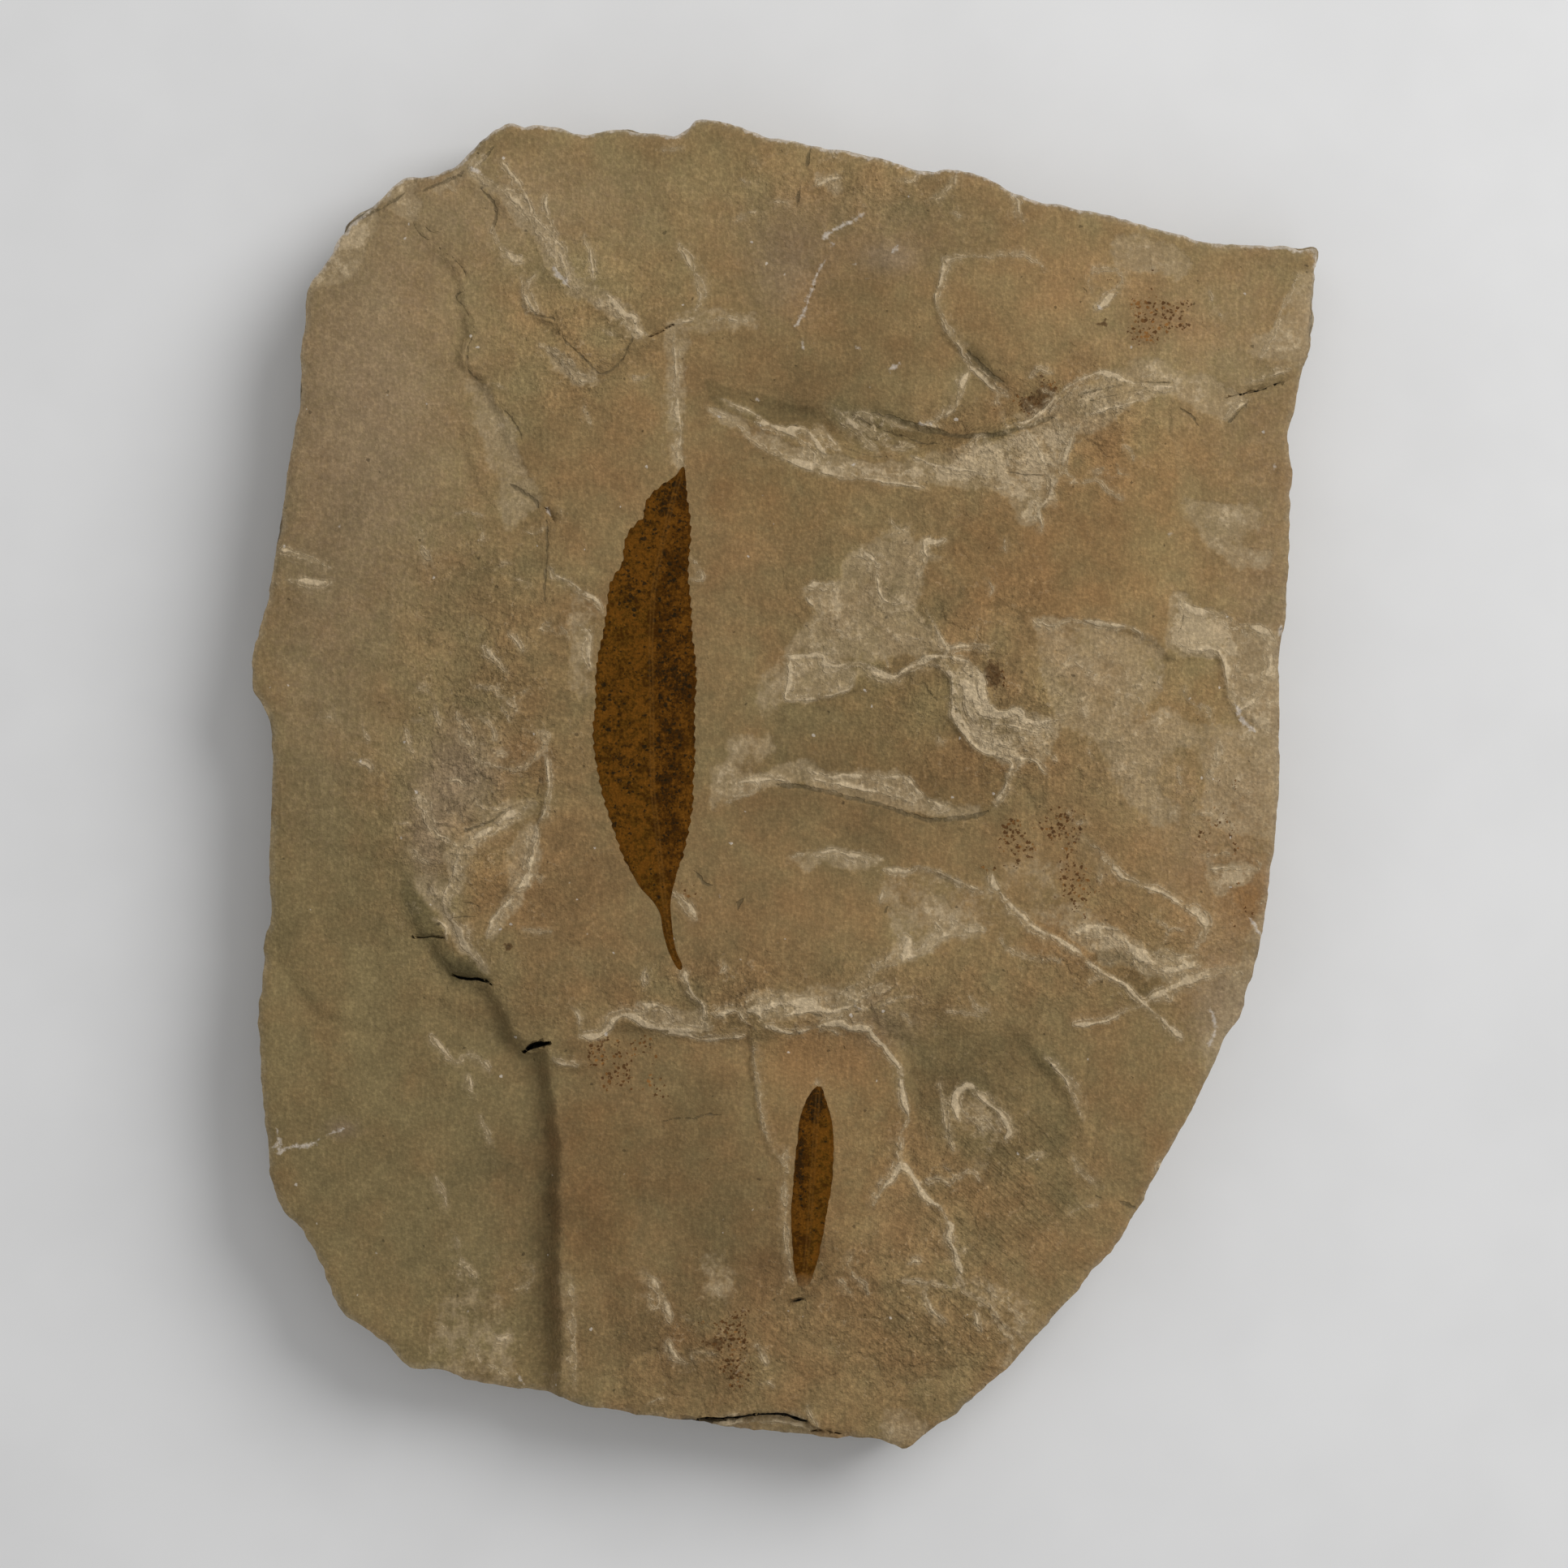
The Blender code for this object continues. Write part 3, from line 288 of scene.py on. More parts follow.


# %% [markdown]
# ## Chalky edges, dark joints and painted shade, cracks and scratches
# Where a sheet snapped off, its thin edge is bruised pale. Joints that still hold dirt are dark, and some
# dark strokes along ledges and through a hollow are painted shade. Open cracks are painted black as the shade
# inside them. Each stroke is a half width, a strength and a few points. A weak stroke is broken up by
# the noise in the material, and a strong one runs on. A crack's strength is its depth in millimetres, since
# it is cut into the mesh too.

# %% Pale edges of the sheets: half width, strength, points
PALE = """
0.4 0.9 -36.8,77.3 -38.4,75.9 -36.9,74.7 -35.1,73.6
1.4 0.7 -35.4,73.8 -33.6,72.2 -31.2,69.4 -29,66.4
0.3 0.8 -34.8,76.9 -33.1,74.4 -31.6,72.2 -30.9,70 -28.6,67.6 -27,65.6
1.2 0.4 -30,68.4 -28.4,66.6 -27.4,64.6 -26.6,62.4
0.3 0.8 -29.4,72.6 -29.2,70 -28,68
0.6 1 -22.6,60.8 -21,59.6 -19.8,58.2 -18.4,57.6 -18,56 -16.8,55.4
0.3 0.7 -24.6,67.6 -24,65 -23.6,62
0.3 0.7 -35.7,67.3 -33.9,64.8 -32,64.4
0.6 0.4 -32.6,62.4 -31.8,59.6 -30.4,57.8
0.4 0.9 -13.7,56.8 -11.4,57.1
0.4 0.9 -8.7,57 -7.6,57.5 -6.1,57.1 -4.9,57
0.6 0.6 -13,66.5 -12,64.5 -11,62.5 -10.5,60 -11,58.5
0.5 0.6 -13.7,56 -13.5,52 -13.3,50
1 0.8 -13.3,49.6 -12.9,44 -13,41 -12.6,39.9
0.3 0.8 -36,69 -35.5,67 -34,65.5 -32,65
0.4 0.5 -30.5,63.5 -32,61.5 -32.2,60 -31.5,58.8 -30.5,57.8
1.4 0.6 -28.6,53 -27.4,51.8 -26,50.2 -24.4,49.6 -23.4,50
0.3 0.6 -29.5,54 -27.2,52.8 -25.4,51
0.4 0.4 -9.6,46.4 -8.2,46 -7,45.4
0.5 1 -3.8,44.8 -2.3,44.4 0,44 1.8,44 3,43.5 4.2,42 5.3,40.5
0.4 0.5 -6.4,44.6 -4.6,43.2 -3.5,42 -1.7,41.1 0.4,40.2 4,39.4 8,38.6
0.7 0.5 6,46.8 8,44.8 9.8,43 11.4,41.4
0.5 0.5 4.2,44.6 5.4,43 6.8,41.4
0.25 0.6 6.4,46 9,44.4 12,42.4 15,41.4
0.2 0.6 3.6,43.8 4.6,42.4 6.4,41.2
0.2 0.6 7.6,46 9.6,45.2 12.6,43.4
0.9 0.9 24.6,36 26.5,36.4 28.4,37
0.5 0.8 28,44.3 30.5,45.2 32.4,46.8 34,48.4 35.9,49.6 39.1,50.9 43.6,49.3 48,49
0.6 0.7 37,45.4 42,46.8 45,47.8
0.4 0.8 31,33 33,36.4 34.6,40.4 36,44
0.4 0.9 19.5,64.5 19.2,62.5 18.6,60.5 18.7,59 19.5,57 20.3,55.5 21.5,54 22.5,52 24,50.5 26,48.7 27.5,48
0.3 0.5 19.5,64.5 22,65 25,65 28,65.3 30,65 32,63.5
0.8 0.7 22.6,51 22,49 21.3,47 20,45.6 18.9,45
0.2 0.6 7.4,45 10,43.9 13,42.8 16,41.8
0.18 0.6 9.4,46 12.4,44.9 16,43.6
0.35 0.8 16.6,44.6 19,44
0.5 0.9 28,73.3 28.7,72 28.9,70.5 29.5,69.2
0.25 0.5 38,63.3 40.5,63.4 41.8,62.6 41.2,61.4 40.4,60.4
0.2 0.4 38,63.3 37.5,62 37.8,60.6
0.6 1.1 40.6,60.6 39.9,59.5 38.8,58.8
0.3 0.6 52.4,60.8 53,58.8 54,57.8
0.3 0.5 63.4,63 61.4,59 60,55.6 58.6,52.6
0.4 0.6 57.4,49.4 60,50.4 63,51.4
0.9 0.8 48.6,22.6 50.6,21.6 54,20.9 56,19.6 59,19.2 60.8,17
0.9 0.8 48.2,17.6 50,16.6 53.4,16.4 54.4,13 55,10
0.8 0.7 56,9 58.4,11 59.8,14 60,17
0.4 0.8 31,20.2 33,19.5 34.5,20.3 37,20.2 40,19.8 43,19.3 44.5,18.2
0.7 1 0.4,15.9 2.2,15.9 4.5,16 5.1,14.7 7.2,14.8 9.2,15 10.4,14.6 12.1,13.7 13.6,13.5 15,14.4 16.8,15.3
    18.6,16 20.6,15.6 22.4,15.1 23.3,14.4 24.4,13.2 24.6,11.2 25,9.7 26.8,8.8 28.8,9.1 29.7,8 31.2,7.7
    33.2,8.2
0.45 0.9 0.5,15.3 0.5,12.7 0.1,10.5 3.3,10.5 5.1,10.9 7.7,11.5 8.6,13.2
0.5 0.9 18,14.7 19.6,14.4 20.5,13 20.6,11.4 20.5,9.6 20.9,7.8 22,6.3 23,5 24.5,4 26,3.6 27.9,2.7 27.6,1.2
    27,-0.5 25.8,-2.3
0.3 0.9 19,15 21,13.6 22.4,13 23,11 23.8,9.5 24.6,8.6 26,8.3 28,8.5
0.25 0.8 21.2,13.8 22,11.6 22.4,9.4 23.2,7.6
0.3 0.8 20.2,12.8 21.3,11 21.4,8.6 22.3,7 23.6,5.8 25.6,5 28,4.9 30,4.2
0.25 0.7 24.4,7.4 27.4,7.4 30.6,6.4 33,6.4
0.25 0.7 23.4,6.6 26,6.2 29,6 31.6,4.8 33.6,3
0.3 0.7 28.4,3.4 30.6,2.8 32,1.4
0.8 0.9 2.2,2.2 4.8,1 7.7,1.2 9.2,1.1 11.8,0.9 14.5,1 15.6,0.3 16.5,-0.8 18,-2 20.4,-3
0.5 0.8 3,0.8 7.6,-0.2 10.6,-0.8 13.6,-1.6 16.6,-2.6
0.4 0.7 -6,0.2 -3,0.5 -1,0.6 0.6,0.3
0.3 0.6 -7,-2 -5,-1.5 -3,-0.5
0.6 0.9 2.6,24.4 4.4,24.8 6.8,24.6
0.5 0.8 2.5,23.4 3,22.4 3.9,21.5
0.6 0.8 9.4,28.9 10.6,28.2 11.4,27.2
0.6 0.8 13.2,32.3 14.4,31.4 15.4,31.9
0.4 0.9 17,30.2 18.4,30 19.6,30.2
0.3 0.7 11.4,25.6 11.6,23.8 12.6,22.6 14,22.4
0.3 0.7 17.2,28.9 17.4,27.4 16.6,25.6
0.5 0.7 17.5,21.4 18.5,19.5 19.5,18 20.2,16.8 22,17.2 25,17
0.5 0.8 -11.7,28 -10.3,26.5 -10.2,25.3 -11.6,25.2
0.5 0.7 -62.5,29 -60,28.5 -57.5,27.5 -56,26.8
0.45 0.8 -61,25.3 -58,25 -55.8,25
0.4 0.7 -64,24.8 -62,24.6
0.5 1 -37,17 -36,15.8 -35,14.8 -34.3,14
0.5 0.7 -34,18.4 -33,17.6 -32.4,16.6
0.4 0.8 -28.9,26.7 -27.7,25.6 -26,24.7 -24.8,23.7 -23.6,23.2 -22.5,21.5
0.5 0.7 -25.1,19.7 -23.9,18.2 -24.2,16.2 -23.9,14.1
1.1 0.6 -56.4,8.2 -55.6,8.2
0.35 0.3 -38.7,5.4 -38.6,4.2 -38.2,3 -36.6,2.3 -34.9,2 -33,1.8 -31.4,2.6 -30.1,3.4 -29.2,5 -29.4,6.4
    -30.6,6.8
0.4 0.7 -29.3,3.6 -29.2,1.6 -29.1,-0.4 -29.6,-3 -30.3,-4.7
0.8 0.7 -30.5,-4.7 -30.6,-7 -31.2,-10 -31.8,-12.8
0.4 0.9 -31.8,-10.9 -33,-13 -34,-14.4 -35.2,-15.6 -36.1,-16.8 -36.5,-18 -36.8,-19.2
1.1 0.9 -31.1,-2.5 -33.5,-3.2 -35.4,-4.7 -37.8,-6.4 -39.6,-7.7 -40.6,-9.6 -41,-11.4 -42.1,-13.8
    -41.8,-15.7 -40.6,-17.4
0.9 1 -40.8,-17 -40.2,-18.4 -39.6,-19.8 -38.4,-21.2 -37.6,-22
0.3 0.8 -46.7,6.8 -46.2,5.4 -45.8,4
0.3 0.7 -51.8,6.6 -51.2,5.6
0.4 0.6 -53.6,3.2 -52.4,2.8 -51,1.8
0.3 0.7 -43,9.6 -42.4,7.8
0.3 0.8 -34.9,9.2 -34.3,8.4 -34,7.6
0.3 0.8 -45.4,-1.2 -44.4,-1.8 -43.6,-2.9
0.35 0.7 -45.2,-2.8 -44,-3.8 -43.2,-4.9
0.3 0.7 -44.4,-4.4 -43.2,-5.4 -42.4,-6.6
0.3 0.7 -42.6,-6.2 -41.6,-6.6 -40.6,-7.4
0.3 0.6 -46.4,-8 -45.2,-9.2 -44,-9.9
0.3 0.6 -40.4,9 -39.6,7.6 -38.8,6.6
0.3 0.6 -37.4,8.2 -36.2,7 -35.8,5.6
0.3 0.6 -38.4,-1.4 -37.4,-2.4 -36.2,-2.8 -34.6,-3
0.6 1 -28.5,-33.8 -27.5,-34.5 -25.5,-34.8
0.4 0.9 -26.5,-27.5 -25.5,-28.5 -25.3,-30
0.6 1 -25,-31 -23,-31.3 -21.5,-30 -20.5,-28.7 -18.5,-28.8 -17.5,-29.8 -15,-30.2 -13,-30.4 -10,-30.3
    -9,-29.8
0.4 0.9 -17.5,-27 -15.5,-27.2 -14.5,-28 -13.8,-28.8
0.4 0.8 -15,-30.8 -12,-31 -10,-31.5 -7,-31.3 -5,-31.1
0.4 0.8 -5,-28 -3.5,-28.2 -2.5,-29
1.6 0.2 -4.5,-26 -2.5,-26.7 0,-26.2 3,-26.3 6,-26 8,-25 9.5,-24.2
1 0.2 10,-24 12,-22.4 16,-21.5 19,-19 21,-18.5 24,-18.2
0.3 0.7 -5,-27.2 -3,-27.8 -1,-27.2 2,-27 5,-27.8
0.3 0.7 8.6,-27.4 10,-27.9 12,-27.2 13.6,-26.6
1 0.3 7.6,-27.6 10.6,-25.6 13.6,-25.2
0.45 1.4 -2.3,-30 -1.4,-30.2 1.2,-30.8 3.6,-30 5.6,-29.6 6.8,-29.6 8,-30.2 10.4,-30.4
0.5 0.7 -8.6,-28.6 -6,-28 -4.6,-29.6
0.4 0.7 0,-28.4 3,-28 6.4,-27.8 8.4,-27.4
0.4 0.8 -12.4,-22.8 -11.8,-25 -10.8,-26.5 -10,-27.3 -9.9,-29.5
0.3 0.6 -17.2,-22.7 -17.3,-24.5
0.5 0.7 -13.8,-13 -12.5,-14.3 -11.5,-15 -10.9,-16.5
0.5 0.3 0.8,-9 3,-8.5 6,-8.3 9,-8.8 11,-9.3 12,-9
0.3 0.8 20.8,-16.8 21.6,-17.5 24,-17.6 24.6,-18
0.3 0.7 14,-18.4 14.6,-19.8 15.6,-21.5 16.6,-21
0.3 0.5 26.4,-18.8 28,-20.8 30.4,-21.6 32,-22
0.5 0.5 18,72.2 19.6,73.2 21,75
0.3 0.7 49.9,-14.9 51.6,-15.7 52.2,-16.4
1.2 0.5 51.4,-15.4 52.2,-17.4 50.6,-19.6
0.3 0.8 52.3,-10.4 55,-10.2 57.2,-10.3
0.3 0.8 58.6,-14.8 59.4,-13.6
0.5 0.9 12.3,-10.4 15,-10.5 16.5,-10.2 18.5,-10.8 20,-11.3 22.5,-12.3 24.5,-13.3
0.3 0.8 12,-13.3 11.7,-14.5
0.4 0.7 14.3,-18.3 15.5,-19.5 14.8,-20.8 16,-21.3 17.5,-20.5
0.4 0.6 18,-16.5 19.5,-18
0.6 0.8 21,-17.3 23,-18.3 24.5,-17.8
0.35 0.7 -4,-31.5 -4,-33.5 -3.9,-35 -3.6,-37 -3.3,-39
0.3 0.4 -3.3,-39 -2.8,-42 -1.8,-44.5 -0.5,-46.5 0.4,-48
0.3 0.8 4,-36.4 4.2,-37
0.2 1.4 10.4,-30.4 12,-32 13.4,-33.8 14.4,-35
0.3 1.1 14.3,-35 14.6,-36.8 14.9,-39 15.4,-41.2 14.7,-42.5
1 0.7 14.6,-42.5 14.3,-44.5 14.5,-46.5
0.5 0.8 14.5,-46 13.5,-48.5 12,-50 11,-51.8
0.35 1.4 14.7,-46.5 16,-48.5 17,-50.3 18,-51.3 19.3,-52 20,-53.5 20.7,-54.5 20.4,-56 20.9,-57.5 21.5,-59
    21.8,-60
0.4 0.6 21.3,-61 22,-62.5 23.5,-63.5 25,-64.3 26,-66 27,-68
0.3 0.7 23.3,-65 24,-67.5
0.3 0.7 28.5,-65.2 29.7,-66.3
0.3 0.6 25,-61 26,-63
0.8 1.2 21.2,-41 20.8,-38.6 21.8,-37.2 23,-37 23.8,-38.2
0.4 1.4 23.8,-38.2 25.5,-39.8 26.8,-41 27.5,-42.6 27.2,-43.8
0.7 0.5 22,-40.6 23.4,-41.6 24.4,-43.2
0.25 0.4 19,-36.6 19.3,-38.5 19.8,-42 20.8,-45
0.3 0.6 24.6,-41 25.8,-42.4 26.2,-44
0.4 0.6 17,-49 19,-48.5 20.3,-49.5
0.4 0.6 21,-48.5 23,-47.8 24,-49
0.4 1.1 25.6,-11 26,-12.5 27.5,-14.4 29.4,-16.2 31.2,-17.7 33.4,-18.8 35.4,-20 37.2,-21.6 38.7,-22.8
    40.4,-23.8 42,-24.7 44.3,-27 46.6,-29 49,-31.2
1.2 0.4 26,-12 27.6,-14.6 30.4,-16.6
1.4 0.4 34.6,-18.4 37,-19 39.6,-18.4
1.6 0.3 36.8,-6.5 39.6,-8.8 41,-10.6
0.35 0.8 40.4,-10 41.4,-11.3 43.4,-12.2 45.2,-13 47.2,-13.8 49,-14.9 50.8,-16.3 51.7,-17.4
1.2 0.8 38.7,-18.6 40.5,-18.1 42.4,-19.5
0.35 1 35.6,-18.2 37.2,-17.6 38.7,-17.5 41,-18 42.4,-19.3
0.6 1.1 42.4,-19.5 44.7,-21.4 46.4,-22.2 48,-22.6 50.3,-21.9
0.3 1 41,-18.2 42.9,-20 44.4,-21.6 45.6,-22.4 47.6,-23 49.6,-22.6 51.2,-22
1.2 0.5 46.6,-20 48.6,-21.4 50.8,-21
0.5 0.7 43,-20 45.5,-20.8 47,-21
0.7 0.6 44.3,-26.5 48,-24.7 52.7,-22.8 57.3,-22.8
0.35 0.8 35.5,-29.7 38,-29.6 40,-29 42,-27.9 44,-27.3 46,-26 49,-24.7 53,-23.5
0.6 0.5 32,-33.6 33.5,-35.2 35,-37.4 36.4,-40.6
0.4 0.5 35.5,-46 36.5,-48 38.5,-49.5
0.3 0.7 14.8,-61 17,-61.3 19.3,-61.5 20.5,-62
0.4 0.6 7,-61 7.5,-61.8 8.2,-62.5
0.3 0.6 8.3,-60 10,-61.5 10.3,-62.5
0.4 0.6 17.3,-62.5 18,-64.5 19.5,-66
0.7 0.6 -17,-60.2 -16,-61.2 -15,-63 -14.3,-64.7 -14,-66
0.5 0.5 -14.3,-68.5 -13.5,-70.5 -12.5,-71.3 -11.5,-71.3
0.3 0.7 -3.5,-69 -3,-70.2 -2.2,-71.5
1.6 0.4 -26.2,-61 -26,-67 -25.8,-74
0.3 0.2 0.3,-45 0.1,-52 0.4,-58 1,-61
0.4 0.7 -43.5,-31 -42.5,-32.3 -41.5,-33.6 -40,-34.3
0.4 0.8 -40,-33.5 -38.5,-33.3 -37.3,-34.2 -36.5,-35
0.9 0.7 -40.5,-56.1 -40.2,-56.8
0.7 0.8 -39.9,-58.8 -39.3,-59.2
0.6 0.6 -38.7,-60.3 -38.3,-60.8
0.4 0.5 -36.2,-67.7 -35,-68.6 -34.2,-68.2
0.4 0.6 -37,-71.6 -35.4,-72.2 -34,-73.4
0.5 0.3 -43,-48.6 -42,-50.4 -41.6,-52
0.3 0.7 -39,-36 -38.5,-38
0.3 0.7 -37.5,-41 -37,-42.5 -36.3,-44
0.6 0.8 -55,68.2 -53,70.4 -50.7,72
0.6 0.7 -38.6,76 -37.8,77
0.4 0.7 3.6,73.6 5.2,74.4 7,74.8
0.6 0.5 -15,78 -13,78.2
0.5 0.7 54.2,45.2 55.6,46.2 57,47.2
0.3 0.7 60,13.7 61,13
0.5 0.6 52,1 53,3 53.4,5
0.5 0.8 -46.6,70.9 -45.4,70.5
0.4 0.8 -41.4,73.7 -40.6,73.2
0.3 0.7 -8,47.6 -5,46.4 -2,44.6 1,43 4,40.4
0.5 0.5 -5.6,43.6 -2.6,41.4 0.6,39.8 4.4,38.4 8.6,37.8 13,37.2 17,36.6
0.35 0.8 15.6,40.4 19,39.2 22,38.8 25,38.4
0.35 0.8 29.6,44 31,41.6 32.4,38.6 33.4,35
0.3 0.8 30.6,35.4 31.4,33.4 31.6,31.4
0.7 0.9 -9,-79.4 -4,-78.7 0,-78.8 3,-79.6
0.6 0.8 45,-49.5 44.3,-51.5
0.5 0.8 46.5,-46.7 46,-47.6
"""
print("pale strokes:", len(marks_in(PALE)))

# %% Dark joints and painted shade lines, open cracks painted black as shade, white scratches
# Painted shade among them: the strokes along the ledges at the upper left and along the bevelled corner
# there, and the thin dark lines through the hollow below the ledge band, stand for shade. The rest are dark
# joints.
DARK = """
0.2 0.5 -46,69.6 -45.3,68.2 -43.6,66.9 -42.2,65.8 -40.7,64.6 -39.4,63.1 -39.4,61.1 -40.6,60.2 -39.7,59
    -38.7,57.2 -38.4,55.5 -39.1,53.7 -39.1,51.7 -38.4,50.4 -36.9,49.6
0.2 0.5 -35.7,47.9 -34.6,46.1 -33.5,44.9 -32.8,43.5 -32.1,41.7
0.45 0.7 -33.9,37.2 -32.4,36 -31,35.1 -30.1,33.8
0.7 0.45 -29.4,33 -29.4,28 -29.6,22
0.4 0.6 -37.5,73.5 -36,71.5 -35.5,70 -36.2,68
0.2 0.7 -32.1,60.1 -30.7,57.9 -28.4,57.3 -27.6,55.1 -25.1,52.9 -22.9,50.7 -20.6,51.8 -18.7,55.1
0.2 0.5 -44.6,69 -43.4,68 -42.4,68.4
0.3 0.8 3.2,78.5 2.8,77 2.5,75.8
0.6 0.5 2,74 1.4,71
0.25 0.3 4.6,43 7,41.6 10,40.6 13,40.4 16,41
0.3 1 12.6,45.6 14.6,44.9 17.3,44 19.4,43.5 21.3,43 24.7,43 27,43.4 29.3,44 33.3,45.3
0.5 0.7 17,44 20,43.2 24,43
0.35 1 22.3,53.8 23,52.8 24.5,51.5 26,50.2 27,49.8
0.15 0.7 27,38.7 29,38.2 32.5,38
0.2 0.8 54.2,44.4 55.5,45.5 57,47
0.2 0.7 48.5,46.5 50,45.5 51,44
0.15 0.8 49.1,20.8 49,19.7
0.25 0.8 48.5,18.7 48.5,18.3
0.35 0.9 36.8,61.2 37.2,60.8
0.08 0.7 21.4,13.6 21.9,11.4 22,9.4 22.8,7.4 24.4,6
0.08 0.7 22.4,13.2 22.9,11 23.2,9.2 24.2,8
0.08 0.6 23.4,13.4 23.9,11 24.2,9.6
0.08 0.6 24.6,7.9 28,7.6 31,6.9 33,6.8
0.08 0.6 25,6.9 28.6,6.4 32,5.4
0.08 0.6 24.6,5.2 27.4,4.4 30.2,3.4
0.08 0.7 4,0.9 8,0 12,-1.2 16,-2.6
0.06 0.6 6,0.9 10,0.2 14,-0.9 17.6,-2.8
0.35 0.9 -1.1,0 2.2,-0.4 5.1,-0.9 7.7,-1.6 10.7,-2.3 13.6,-3.1 15.6,-3.8 18,-4.3 20.9,-4.3 23.3,-4 25,-3.2
0.22 0.8 -39.9,-6 -37.9,-5.3 -36.3,-4.6 -34.9,-3.5 -33.7,-2.8
0.16 0.8 -30.1,1.3 -30.4,-0.4 -30.6,-1.8
0.12 0.8 -41.6,-16.7 -39.6,-16.3 -37.8,-16.4
0.12 0.7 -40,-14.4 -38.6,-14.7 -37.4,-15.3
0.12 0.8 8,45.8 11,44.2 14,43 17,42.2 20,41.9
0.12 0.8 10.6,46 14,44.6 18,43.2
0.1 0.7 6.4,44.8 9,43.2 12,42.2
0.1 0.7 9.4,45.4 12.4,43.8 16,42.6
0.25 0.9 -11.2,-10.5 -10.5,-11.5 -9.8,-12.3 -9,-12.5
0.25 1 -5.1,-13.9 -5.7,-14.6 -5.8,-15.5
0.2 0.8 12.6,-15 12.2,-16
0.6 0.4 3,-28.2 5,-28.8
0.2 0.9 8.6,-28.1 9.4,-28
0.4 1 0.9,-63.8 1.8,-63.4 2.4,-63.5
0.3 0.7 22,-39.2 21.8,-38.8
0.3 0.7 21.5,-47 21.6,-46.6
0.3 0.7 38,-50.5 39,-51
0.3 0.7 41,-51.2 43.5,-52.3
0.15 0.8 -15,-41.5 -12,-41.2 -9,-40.8 -7.5,-40.7
0.3 0.7 -14.4,-66.4 -14.2,-66.8
0.25 0.7 -2,-52.2 -2.1,-52.6
0.25 0.7 -3.5,-56.9 -3.6,-57.2
0.25 0.8 55,30.5 55.4,30.3
0.4 0.3 34,47 38,48.6 43,49.4 48,49.6
0.12 0.7 33,46.4 37,48.2 41,49.2
0.12 0.7 36,46.8 41,48 46,49
0.2 0.8 32.5,36.2 32.7,36
0.2 0.8 28.9,29.2 28.9,28.8
0.25 0.8 -34.2,-20 -33.8,-20
0.2 0.8 -38,1.9 -38,1.5
0.2 0.8 -44.3,10.8 -44.3,10.4
0.25 0.8 -62.2,-9.3 -61.8,-9.3
0.3 0.6 -53.9,69 -52.2,69.9 -49.5,71.1 -48,72.1 -46.9,73.1
0.3 0.5 -45,73.1 -41.6,74.4 -38.7,76 -36.9,77.2 -35.7,79
0.18 0.8 64.5,57 64.2,55.3
"""
# Cracks are cut into the mesh, and they are painted black as the shade inside them.
CRACKS = """
0.2 0.6 54.5,47.7 56.5,48.1 59.5,49 61.5,49.8
0.13 0.6 -45.8,-18.8 -44.8,-19 -43.7,-18.7 -42.6,-18.9 -41.8,-19
0.2 1 -40.8,-23.6 -39.5,-23.9 -37.5,-24.1 -36.2,-24.5
0.3 2.2 -32.1,-32.9 -31.3,-32.4 -30.3,-32 -29.2,-31.9
0.16 1.2 -13,-78.6 -10,-78.3 -6,-78.1 -3,-77.7 -1,-77.6 1,-78 2.7,-78.7
0.13 0.7 3.8,-79.6 6,-79.9 8.3,-80.5
0.4 0.45 0.9,-63.8 1.7,-63.5 2.5,-63.3
0.13 0.5 -16.5,55.2 -15.2,55.9 -13.9,56.7
0.1 0.5 -29.2,33.9 -28.6,32.6
"""
CHALK = """
0.6 0.8 -38.8,76.1 -37.9,75.6 -37,75
0.5 0.8 -28.6,63.8 -27.7,62.8 -26.7,61.5
0.2 0.8 9.5,70.3 7.5,69 5.5,68 4.7,67.7
0.4 0.8 4.7,67.3 5.8,68.3 7.7,69
0.2 0.6 6.2,66.7 5.8,66.3
0.2 0.6 5,64.5 4,63 3,60 2,57.5 1.2,56.5
0.25 0.7 2.3,55 2.2,54
0.35 1 -29.3,34 -28.9,33.1
0.25 0.8 0.4,53.8 0.4,53.6
0.3 0.8 13.2,65.6 13.8,66.4
0.25 0.8 8.4,64.2 8.6,64.2
0.3 0.8 10.2,62.3 10.5,62.4
0.35 0.9 8.7,54 9.2,53.8
0.3 0.8 8.2,64 8.9,64.2
0.35 0.9 12.8,51.2 14.2,51.9
0.3 0.8 10.6,49.2 10.8,49
0.25 0.7 -3.4,47.5 -3.2,47.3
0.6 0.6 16.4,44.6 18.2,44.4
0.35 0.9 38.7,59 39,58.6
0.3 0.8 47.2,30.8 47.4,30.8
0.3 0.8 51.9,31.8 52.1,31.8
0.3 0.8 60.4,39 60.6,39
0.4 0.8 55.5,9.8 56.4,7.9 58,6.6
0.4 0.8 61,18 61.3,19.5
0.3 0.9 -54.9,31.9 -54.9,31.7
0.3 0.9 -8.1,-13.6 -8.1,-13.8
0.2 0.9 8.6,-27.3 9.5,-27.8
0.3 0.5 52.5,-27.3 53,-30 52.3,-32.4
0.25 0.5 57,-16 59,-19
0.5 0.4 -64,-44.8 -62,-44.8
0.12 1 -62,-44.9 -60.5,-44.7 -58.5,-44.3 -57.3,-43.8
0.3 0.3 -56.4,-43.2 -53.6,-42.2
0.4 0.3 -62.5,-42.5 -62.3,-44 -62,-46
0.2 0.7 -39.2,-64.9 -39.2,-65.2
0.2 0.6 -33.2,-73.2 -32.3,-74.3
0.2 0.9 4.2,-36.4 4.2,-36.6
0.7 0.7 -54.2,68.6 -52.4,70.1 -50.6,71.3
0.4 0.6 36.8,70.8 34,71.4 31,72.2
"""


STROKE_SPACING = 0.42


def frayed(line):
    return broken(broken(line, 0.20, 1.9, 6.0), 0.11, 0.7, 8.0)


